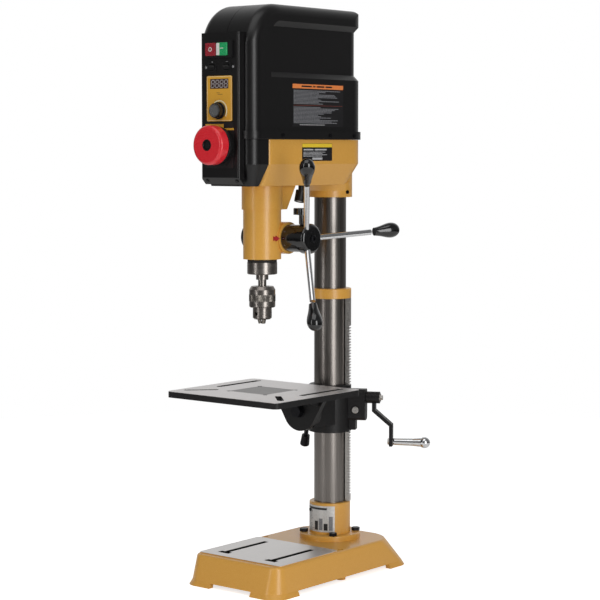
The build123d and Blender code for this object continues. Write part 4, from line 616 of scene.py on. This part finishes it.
white_ink = finish(
    "white_filled_engraving", ("#D9D8D4", "#E8E7E3"), (0.45, 0.6), grain=0.002, depth=0.00001
)
worn_ink = finish(
    "worn_grey_engraving", ("#77767A", "#8C8B8F"), (0.4, 0.55), grain=0.001, depth=0.00001
)
dial_low, dial_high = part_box("depth_dial")
dial_axis = (dial_low + dial_high) / 2
dial_radius = (dial_high.z - dial_low.z) / 2
along_x = Matrix.Translation((0, dial_axis.y, dial_axis.z)) @ Matrix.Rotation(
    math.radians(90), 4, "Y"
)
dial_marks = bmesh.new()
for tick in range(60):
    reach = 0.0040 if tick % 5 == 0 else 0.0024
    angle = 6.0 * tick
    band(
        dial_marks, (dial_radius - 0.0002, dial_radius + 0.00012),
        (dial_low.x + 0.0012, dial_low.x + 0.0012 + reach), (angle - 0.28, angle + 0.28),
        along_x, 1,
    )


def numeral(text, size, place):
    """A thin engraved numeral, standing on the local XY plane and facing local +Z."""
    curve = bpy.data.curves.new("numeral", "FONT")
    curve.body = text
    curve.size = size
    curve.align_x = "CENTER"
    curve.align_y = "CENTER"
    curve.extrude = 0.00010
    curve.resolution_u = 2
    made = bpy.data.objects.new("numeral", curve)
    flat = bpy.data.meshes.new_from_object(made)
    part = bmesh.new()
    part.from_mesh(flat)
    bpy.data.objects.remove(made)
    bpy.data.curves.remove(curve)
    bpy.data.meshes.remove(flat)
    bmesh.ops.transform(part, matrix=place, verts=part.verts[:])
    return part


for number in range(12):
    turned = Matrix.Rotation(math.radians(-30.0 * number), 4, "X")
    at_rim = (
        Matrix.Translation((dial_low.x + 0.0085, dial_axis.y, dial_axis.z))
        @ turned
        @ Matrix.Translation((0, 0, dial_radius))
        @ Matrix.Rotation(math.radians(90), 4, "Z")
    )
    join(dial_marks, numeral(str(number), 0.0040, at_rim))
stand_piece("dial_marks", dial_marks, "depth_dial", "silver_plastic", worn_ink)

red_enamel = finish(
    "red_pointer_enamel", ("#9A1519", "#A91D21"), (0.30, 0.42), grain=0.001, depth=0.00001
)
barrel_angle = math.radians(15)
barrel_radius = 0.0401
spindle_axis_y = sleeve_axis.y
pointer_root = Vector((
    barrel_radius * math.cos(barrel_angle),
    spindle_axis_y - barrel_radius * math.sin(barrel_angle),
    dial_axis.z,
))
towards_dial = Vector((math.sin(barrel_angle), math.cos(barrel_angle), 0))
outwards = Vector((math.cos(barrel_angle), -math.sin(barrel_angle), 0))
pointer_place = Matrix((
    (towards_dial.x, 0, outwards.x, pointer_root.x),
    (towards_dial.y, 0, outwards.y, pointer_root.y),
    (towards_dial.z, 1, outwards.z, pointer_root.z),
    (0, 0, 0, 1),
))
pointer = bmesh.new()
outline = [(0.0, -0.0048), (0.0062, -0.0030), (0.0062, -0.0062), (0.0168, 0.0),
           (0.0062, 0.0062), (0.0062, 0.0030), (0.0, 0.0048)]
arrow = bmesh.new()
arrow_face = arrow.faces.new([arrow.verts.new((x, y, -0.0004)) for x, y in outline])
lifted = bmesh.ops.extrude_face_region(arrow, geom=[arrow_face])["geom"]
bmesh.ops.translate(
    arrow,
    verts=[item for item in lifted if isinstance(item, bmesh.types.BMVert)],
    vec=(0, 0, 0.0022),
)
join(pointer, arrow, pointer_place)
stand_piece("dial_pointer", pointer, "stand", "red_plastic", red_enamel)

# ---- Head cover and front shell ------------------------------------------------------
# Two moulded halves in black ABS with a spark-eroded texture, met on the centre line and
# screwed to the casting through a lip. A printed notice is stuck on the side.

# ABS, injection moulded in an eroded mould: grains near 0.7 mm and a soft satin shine
black_abs = finish(
    "textured_black_abs",
    ("#090809", "#0D0C0D"),
    (0.30, 0.40),
    grain=0.0008,
    depth=0.00001,
    sockets={"Specular IOR Level": 0.45},
)
dress(black_abs, "head_cover", "front_shell", "control_box")

orange_ink = finish(
    "orange_printing_ink", ("#E27F3F", "#EA8B4C"), (0.34, 0.46), grain=0.002, depth=0.000005
)
dull_red_ink = finish(
    "dull_red_printing_ink", ("#7E3A30", "#8E463B"), (0.42, 0.55), grain=0.002, depth=0.000005
)
cover_label = bmesh.new()
label_front, label_rear = -0.126, 0.045
block(cover_label, (side, label_front, 0.971), (printed, label_rear, 1.0595), corner=0.002)
block(
    cover_label, (printed, label_front + 0.0005, 1.0500), (inked, label_rear - 0.0005, 1.0590),
    0.001, 1,
)
random.seed(23)
title_words = ((-0.096, -0.062), (-0.058, -0.050), (-0.046, -0.020), (-0.016, 0.006))
for word_start, word_end in title_words:
    block(
        cover_label, (inked, word_start, 1.0530), (inked + small_print, word_end, 1.0562),
        0.0003, 0,
    )
printed_rows(
    cover_label, printed, [1.0465 - 0.0027 * i for i in range(11)],
    (label_front + 0.004, label_rear - 0.004), 0.0009, 0.0016, 2, 0.45,
)
block(
    cover_label, (printed, label_front + 0.003, 1.0148), (inked, label_rear - 0.003, 1.0154), 0, 3
)
printed_rows(
    cover_label, printed, [1.0120 - 0.0027 * i for i in range(13)],
    (label_front + 0.004, label_rear - 0.004), 0.0009, 0.0016, 2, 0.45,
)
printed_rows(
    cover_label, printed, [0.9755], (label_front + 0.024, label_rear - 0.040), 0.0009, 0.0014, 4,
)
stand_piece(
    "cover_label", cover_label, "stand", "black_plastic", film_black, orange_ink, grey_ink,
    dull_red_ink, pale_ink,
)

# ---- Control box and its controls ----------------------------------------------------
# A moulded box on the front with a two-button switch, two rockers, a speed display and
# knob on a yellow plate, and an emergency stop on a yellow backing plate.

plate_yellow = finish(
    "printed_yellow_plate", ("#D69C2C", "#DDA638"), (0.36, 0.48), grain=0.0015, depth=0.00001
)

# The stop's plate is printed black but for a stepped yellow tab above the mushroom
tab_low, tab_right_high, tab_left_high = 0.9625, 0.9665, 0.9750
tab_step_x = 0.012
upper_plate_from = 0.9795
where = add_node(plate_yellow, "ShaderNodeTexCoord").outputs["Object"]
place = add_node(plate_yellow, "ShaderNodeSeparateXYZ", (), {0: where}).outputs
tab_foot = add_node(
    plate_yellow, "ShaderNodeMath", {1: tab_low}, {0: place["Z"]}, operation="GREATER_THAN"
).outputs[0]
tab_left = add_node(
    plate_yellow, "ShaderNodeMath", {1: tab_step_x}, {0: place["X"]}, operation="LESS_THAN"
).outputs[0]
step = add_node(
    plate_yellow,
    "ShaderNodeMapRange",
    {"To Min": tab_right_high, "To Max": tab_left_high},
    {"Value": tab_left},
).outputs["Result"]
tab_head = add_node(
    plate_yellow, "ShaderNodeMath", (), {0: place["Z"], 1: step}, operation="LESS_THAN"
).outputs[0]
in_tab = add_node(
    plate_yellow, "ShaderNodeMath", (), {0: tab_foot, 1: tab_head}, operation="MULTIPLY"
).outputs[0]
on_plate = add_node(
    plate_yellow,
    "ShaderNodeMath",
    {1: upper_plate_from},
    {0: place["Z"]},
    operation="GREATER_THAN",
).outputs[0]
yellow_part = add_node(
    plate_yellow, "ShaderNodeMath", (), {0: in_tab, 1: on_plate}, operation="MAXIMUM"
).outputs[0]
plate_shader = plate_yellow.node_tree.nodes["Principled BSDF"]
printed_yellow = plate_yellow.node_tree.nodes["tint"].outputs[2]
two_prints = add_node(
    plate_yellow, "ShaderNodeMix", {6: linear("#111011")}, {0: yellow_part, 7: printed_yellow},
    data_type="RGBA",
)
plate_yellow.node_tree.links.new(two_prints.outputs[2], plate_shader.inputs["Base Color"])
dress(plate_yellow, "panel_plates")
dress(black_abs_fine, "switch_frames", "laser_switch", "lamp_switch", "estop_base")
button_red = finish(
    "moulded_red_button", ("#8E1F2B", "#9B2733"), (0.22, 0.34), grain=0.002, depth=0.00001,
    sockets={"Coat Weight": 0.3, "Coat Roughness": 0.12},
)
dress(button_red, "stop_button")
button_green = finish(
    "moulded_green_button", ("#1E9A5A", "#27A866"), (0.22, 0.34), grain=0.002, depth=0.00001,
    sockets={"Coat Weight": 0.3, "Coat Roughness": 0.12},
)
dress(button_green, "start_button")
mushroom_red = finish(
    "moulded_red_mushroom", ("#D81E2B", "#E12C37"), (0.24, 0.34), grain=0.0015, depth=0.00001,
    sockets={"Coat Weight": 0.35, "Coat Roughness": 0.14},
)

# The recess in its face and the lip round that are painted black, as painted shade in the recess
stop_height, lip_radius = 0.932, 0.0118
where = add_node(mushroom_red, "ShaderNodeTexCoord").outputs["Object"]
flattened = add_node(
    mushroom_red, "ShaderNodeVectorMath", {1: (1, 0, 1)}, {0: where}, operation="MULTIPLY"
).outputs[0]
from_axis = add_node(
    mushroom_red,
    "ShaderNodeVectorMath",
    {1: (0, 0, stop_height)},
    {0: flattened},
    operation="DISTANCE",
).outputs["Value"]
in_painted_recess_shade = add_node(
    mushroom_red, "ShaderNodeMath", {1: lip_radius}, {0: from_axis}, operation="LESS_THAN"
).outputs[0]
mushroom_tint = mushroom_red.node_tree.nodes["tint"].outputs[2]
red_and_painted_recess_shade = add_node(
    mushroom_red, "ShaderNodeMix", {7: linear("#101011")}, {0: in_painted_recess_shade, 6: mushroom_tint},
    data_type="RGBA",
)
mushroom_shader = mushroom_red.node_tree.nodes["Principled BSDF"]
mushroom_red.node_tree.links.new(red_and_painted_recess_shade.outputs[2], mushroom_shader.inputs["Base Color"])
dress(mushroom_red, "estop_button")
display_window = finish(
    "smoked_display_window", ("#3B2C2B", "#453433"), (0.10, 0.18), grain=0.004, depth=0.00001,
    sockets={"Coat Weight": 0.5, "Coat Roughness": 0.05},
)
dress(display_window, "speed_display")
knob_black = finish(
    "moulded_black_knob", ("#101011", "#18181A"), (0.18, 0.28), grain=0.001, depth=0.00001,
    sockets={"Coat Weight": 0.4, "Coat Roughness": 0.1},
)
dress(knob_black, "speed_knob")

window_low, window_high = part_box("speed_display")
front = window_low.y
segment_ink = finish(
    "unlit_display_segments", ("#A09A9A", "#B0AAAA"), (0.3, 0.4), grain=0.001, depth=0.000005
)
digits = bmesh.new()
digit_centre = Vector((0.0, front, (window_low.z + window_high.z) / 2))
digit_width, digit_height, stroke = 0.0080, 0.0145, 0.0015
digit_pitch = 0.0118
slant = Matrix(((1, 0, 0.12, 0), (0, 1, 0, 0), (0, 0, 1, 0), (0, 0, 0, 1)))
for digit in range(4):
    middle = (digit - 1.5) * digit_pitch
    place = Matrix.Translation(digit_centre + Vector((middle, 0, 0))) @ slant
    half, tall = digit_width / 2, digit_height / 2
    flat = (-0.0002, 0.0001)
    for level in (-tall, 0.0, tall):
        block(
            digits, (-half + stroke / 2, flat[0], level - stroke / 2),
            (half - stroke / 2, flat[1], level + stroke / 2), 0.0004, 0, place,
        )
    for edge in (-half, half):
        for bottom in (-tall, 0.0):
            block(
                digits, (edge - stroke / 2, flat[0], bottom + stroke * 0.6),
                (edge + stroke / 2, flat[1], bottom + tall - stroke * 0.6), 0.0004, 0, place,
            )
stand_piece("display_digits", digits, "stand", "display", segment_ink)

# Marks printed or moulded on the panel: switch symbols, divider, knob scale and dots
mark_depths = (-0.0001, 0.0002)
facing_front = Matrix.Rotation(math.radians(90), 4, "X")
stop_low, stop_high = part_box("stop_button")
start_low, start_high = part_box("start_button")
button_face = stop_low.y
stop_centre = (stop_low + stop_high) / 2
start_centre = (start_low + start_high) / 2
stop_mark = bmesh.new()
band(
    stop_mark, (0.0030, 0.0045), mark_depths, (0, 360),
    Matrix.Translation((stop_centre.x, button_face, stop_centre.z)) @ facing_front, 32,
)
stand_piece("stop_mark", stop_mark, "stop_button", "silver_plastic", white_ink)
start_mark = bmesh.new()
block(
    start_mark, (start_centre.x - 0.0045, button_face - 0.0002, start_centre.z + 0.0010),
    (start_centre.x + 0.0045, button_face + 0.0001, start_centre.z + 0.0024), 0.0004,
)
stand_piece("start_mark", start_mark, "start_button", "silver_plastic", white_ink)
start_strip = bmesh.new()
block(
    start_strip, (start_low.x + 0.0006, button_face - 0.0003, start_low.z + 0.0008),
    (start_low.x + 0.0085, button_face + 0.0001, start_high.z - 0.0008), 0.0006,
)
stand_piece("start_button_strip", start_strip, "start_button", "silver_plastic", white_ink)

plate_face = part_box("panel_plates")[0].y
knob_low, knob_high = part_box("speed_knob")
knob_centre = (knob_low + knob_high) / 2
knob_place = Matrix.Translation((knob_centre.x, plate_face, knob_centre.z)) @ facing_front
cream_ink = finish(
    "cream_printing_ink", ("#E9DDB5", "#F1E6C2"), (0.36, 0.48), grain=0.002, depth=0.000005
)
panel_marks = bmesh.new()
band(panel_marks, (0.0190, 0.0215), mark_depths, (-35, 130), knob_place, 32)
band(panel_marks, (0.0194, 0.0203), mark_depths, (130, 215), knob_place, 24)
for mark in range(11):
    angle = -40 + 26 * mark
    band(panel_marks, (0.0222, 0.0238), mark_depths, (angle - 1.2, angle + 1.2), knob_place, 1, 1)
half_plate = 0.0328
plate_low_z, plate_high_z = 0.9817, 1.0713
line = 0.0007
for low, high in (
    ((-half_plate, plate_low_z), (half_plate, plate_low_z + line)),
    ((-half_plate, plate_high_z - line), (half_plate, plate_high_z)),
    ((-half_plate, plate_low_z + line), (-half_plate + line, plate_high_z - line)),
    ((half_plate - line, plate_low_z + line), (half_plate, plate_high_z - line)),
):
    block(
        panel_marks, (low[0], plate_face - 0.0001, low[1]), (high[0], plate_face + 0.0001, high[1])
    )
for left, right, level in ((-0.007, 0.001, 1.0375), (-0.004, 0.009, 1.0345)):
    block(
        panel_marks, (left, plate_face - 0.0001, level),
        (right, plate_face + 0.0001, level + 0.0012), 0, 1,
    )
brown_ink = finish(
    "brown_printing_ink", ("#7A5A1E", "#866427"), (0.42, 0.55), grain=0.002, depth=0.000005
)
stand_piece("panel_marks", panel_marks, "stand", "yellow_plate", cream_ink, brown_ink)

box_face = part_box("control_box")[0].y
rocker_height, rocker_x, symbol_x, ray_reach = 1.0902, 0.0195, 0.0365, 0.0026
rocker_marks = bmesh.new()
for rocker_side in (-1, 1):
    outer = rocker_side * symbol_x
    for angle in range(0, 360, 60):
        spot = Matrix.Translation((
            outer + ray_reach * math.cos(math.radians(angle)),
            box_face,
            rocker_height + ray_reach * math.sin(math.radians(angle)),
        )) @ facing_front
        band(rocker_marks, (0.0001, 0.0006), (-0.0001, 0.0001), (0, 360), spot, 8)
    centre_spot = Matrix.Translation((outer, box_face, rocker_height)) @ facing_front
    band(rocker_marks, (0.0001, 0.0014), (-0.0001, 0.0001), (0, 360), centre_spot, 12)
    block(
        rocker_marks, (rocker_side * rocker_x - 0.0022, box_face - 0.0001, 1.1006),
        (rocker_side * rocker_x + 0.0022, box_face + 0.0001, 1.1014),
    )
stand_piece("rocker_marks", rocker_marks, "stand", "silver_plastic", pale_ink)

# The knob's turned aluminium face, with lathe rings and a bright bevel
spun_aluminium = finish(
    "spun_aluminium", ("#C4C5C7", "#D8D9DA"), (0.20, 0.27), grain=0.0008, depth=0.000001,
    metallic=1.0,
)
knob_face = bmesh.new()
knob_front = Matrix.Translation((knob_centre.x, knob_low.y, knob_centre.z)) @ facing_front
band(knob_face, (0.0002, 0.0104), (-0.0002, 0.0005), (0, 360), knob_front, 48)
band(knob_face, (0.0108, 0.0124), (-0.0003, 0.0003), (0, 360), knob_front, 48)
stand_piece("speed_knob_face", knob_face, "speed_knob", "silver_plastic", spun_aluminium)
knob_ribs = bmesh.new()
for rib in range(36):
    angle = 10.0 * rib
    band(
        knob_ribs, (0.0138, 0.0151), (-0.0118, -0.0022), (angle - 2.6, angle + 2.6), knob_front, 2
    )
stand_piece("speed_knob_ribs", knob_ribs, "speed_knob", "black_plastic", knob_black)

# The stop's dark centre cap in the mushroom's recess
mushroom_low, mushroom_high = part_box("estop_button")
mushroom_centre = (mushroom_low + mushroom_high) / 2
cap = bmesh.new()
cap_place = Matrix.Translation(
    (mushroom_centre.x, mushroom_low.y + 0.003, mushroom_centre.z)
) @ facing_front
band(cap, (0.0002, 0.0086), (-0.0012, 0.0006), (0, 360), cap_place, 40)
band(cap, (0.0068, 0.0080), (0.0006, 0.0010), (0, 360), cap_place, 40)
stand_piece("estop_centre", cap, "estop", "black_plastic", knob_black)

# ---- Drive, seen only with the cover off ---------------------------------------------
# A finned motor, ribbed pulleys and the control board, in their own plain finishes.

cast_aluminium = finish(
    "die_cast_aluminium", ("#9A9C9E", "#B0B2B4"), (0.38, 0.55), grain=0.0015, depth=0.00004,
    metallic=1.0,
)
dress(cast_aluminium, "motor")
dress(turned_steel, "motor_pulley", "spindle_pulley")
board_green = finish(
    "solder_masked_board", ("#0F5B34", "#176B40"), (0.25, 0.40), grain=0.002, depth=0.00002
)
dress(board_green, "circuit_board")

# ---- Floor, light and camera ---------------------------------------------------------
# A round pale floor in a pale room, two tall soft lights in front and one above.

floor_pale = finish(
    "pale_studio_floor", ("#F2F1EF", "#F6F5F3"), (0.75, 0.9), grain=0.5, depth=0.00001,
    sockets={"Emission Color": (1, 1, 1, 1)},
)
# The floor glows to the eye alone, so that it meets the room without an edge
eye_ray = add_node(floor_pale, "ShaderNodeLightPath").outputs["Is Camera Ray"]
glow = add_node(floor_pale, "ShaderNodeMix", {2: 0.14, 3: 0.72}, {0: eye_ray}).outputs[0]
floor_shader = floor_pale.node_tree.nodes["Principled BSDF"]
floor_pale.node_tree.links.new(glow, floor_shader.inputs["Emission Strength"])
floor_mesh = bmesh.new()
bmesh.ops.create_circle(floor_mesh, cap_ends=True, segments=96, radius=2.5)
floor_data = bpy.data.meshes.new("studio_floor")
floor_mesh.to_mesh(floor_data)
floor_mesh.free()
floor_data.materials.append(floor_pale)
floor = bpy.data.objects.new("studio_floor", floor_data)
scene.collection.objects.link(floor)

# The room is pale to the eye. To the object it is pale behind and above, and dim in front,
# as a photographer's studio is, so that black parts stay black.
room = bpy.data.worlds.new("studio")
scene.world = room
room.use_nodes = True
sky = room.node_tree.nodes["Background"]
facing = add_node(room, "ShaderNodeTexCoord").outputs["Generated"]
front_dot = add_node(
    room,
    "ShaderNodeVectorMath",
    {1: (0.62, -0.79, 0.0)},
    {0: facing},
    operation="DOT_PRODUCT",
).outputs["Value"]
dimness = add_node(
    room,
    "ShaderNodeMapRange",
    {"From Min": -0.9, "From Max": -0.2, "To Min": 0.88, "To Max": 0.18},
    {"Value": front_dot},
    interpolation_type="SMOOTHSTEP",
).outputs["Result"]
rise = add_node(room, "ShaderNodeSeparateXYZ", (), {0: facing}).outputs["Z"]
sunken = add_node(
    room,
    "ShaderNodeMapRange",
    {"From Min": -0.12, "From Max": 0.18, "To Min": 0.15, "To Max": 1.0},
    {"Value": rise},
).outputs["Result"]
dimness = add_node(
    room, "ShaderNodeMath", (), {0: dimness, 1: sunken}, operation="MULTIPLY"
).outputs[0]
seen = add_node(room, "ShaderNodeLightPath").outputs["Is Camera Ray"]
strength = add_node(room, "ShaderNodeMix", {3: 1.0}, {0: seen, 2: dimness}).outputs[0]
sky.inputs["Color"].default_value = (1, 1, 1, 1)
room.node_tree.links.new(strength, sky.inputs["Strength"])

aim = Vector((0, 0.0, 0.65))


def soft_light(name, azimuth, height, distance, width, tall, watts):
    """A rectangular soft light, placed by its angle from the front and turned to the aim."""
    lamp = bpy.data.lights.new(name, "AREA")
    lamp.shape = "RECTANGLE"
    lamp.size = width
    lamp.size_y = tall
    lamp.energy = watts
    holder = bpy.data.objects.new(name, lamp)
    scene.collection.objects.link(holder)
    turn = math.radians(azimuth)
    spot = Vector((distance * math.sin(turn), -distance * math.cos(turn), height))
    holder.location = spot
    holder.rotation_euler = (aim - spot).to_track_quat("-Z", "Y").to_euler()


soft_light("right_softbox", 66, 1.1, 3.0, 1.1, 2.4, 42)
soft_light("left_softbox", -12, 1.1, 3.0, 0.35, 2.4, 12)
soft_light("top_softbox", 20, 3.2, 1.2, 2.4, 2.4, 25)

camera_data = bpy.data.cameras.new("camera")
camera_data.lens = 109.865
camera_data.sensor_width = 36.0
camera = bpy.data.objects.new("camera", camera_data)
scene.collection.objects.link(camera)
camera_azimuth = math.radians(38.231)
camera_distance = 4.027
camera.location = (
    camera_distance * math.sin(camera_azimuth),
    column_axis.y - camera_distance * math.cos(camera_azimuth),
    0.9215,
)
camera.rotation_euler = (math.radians(85.329), 0, math.radians(39.176))
scene.camera = camera
scene.view_settings.view_transform = "Standard"
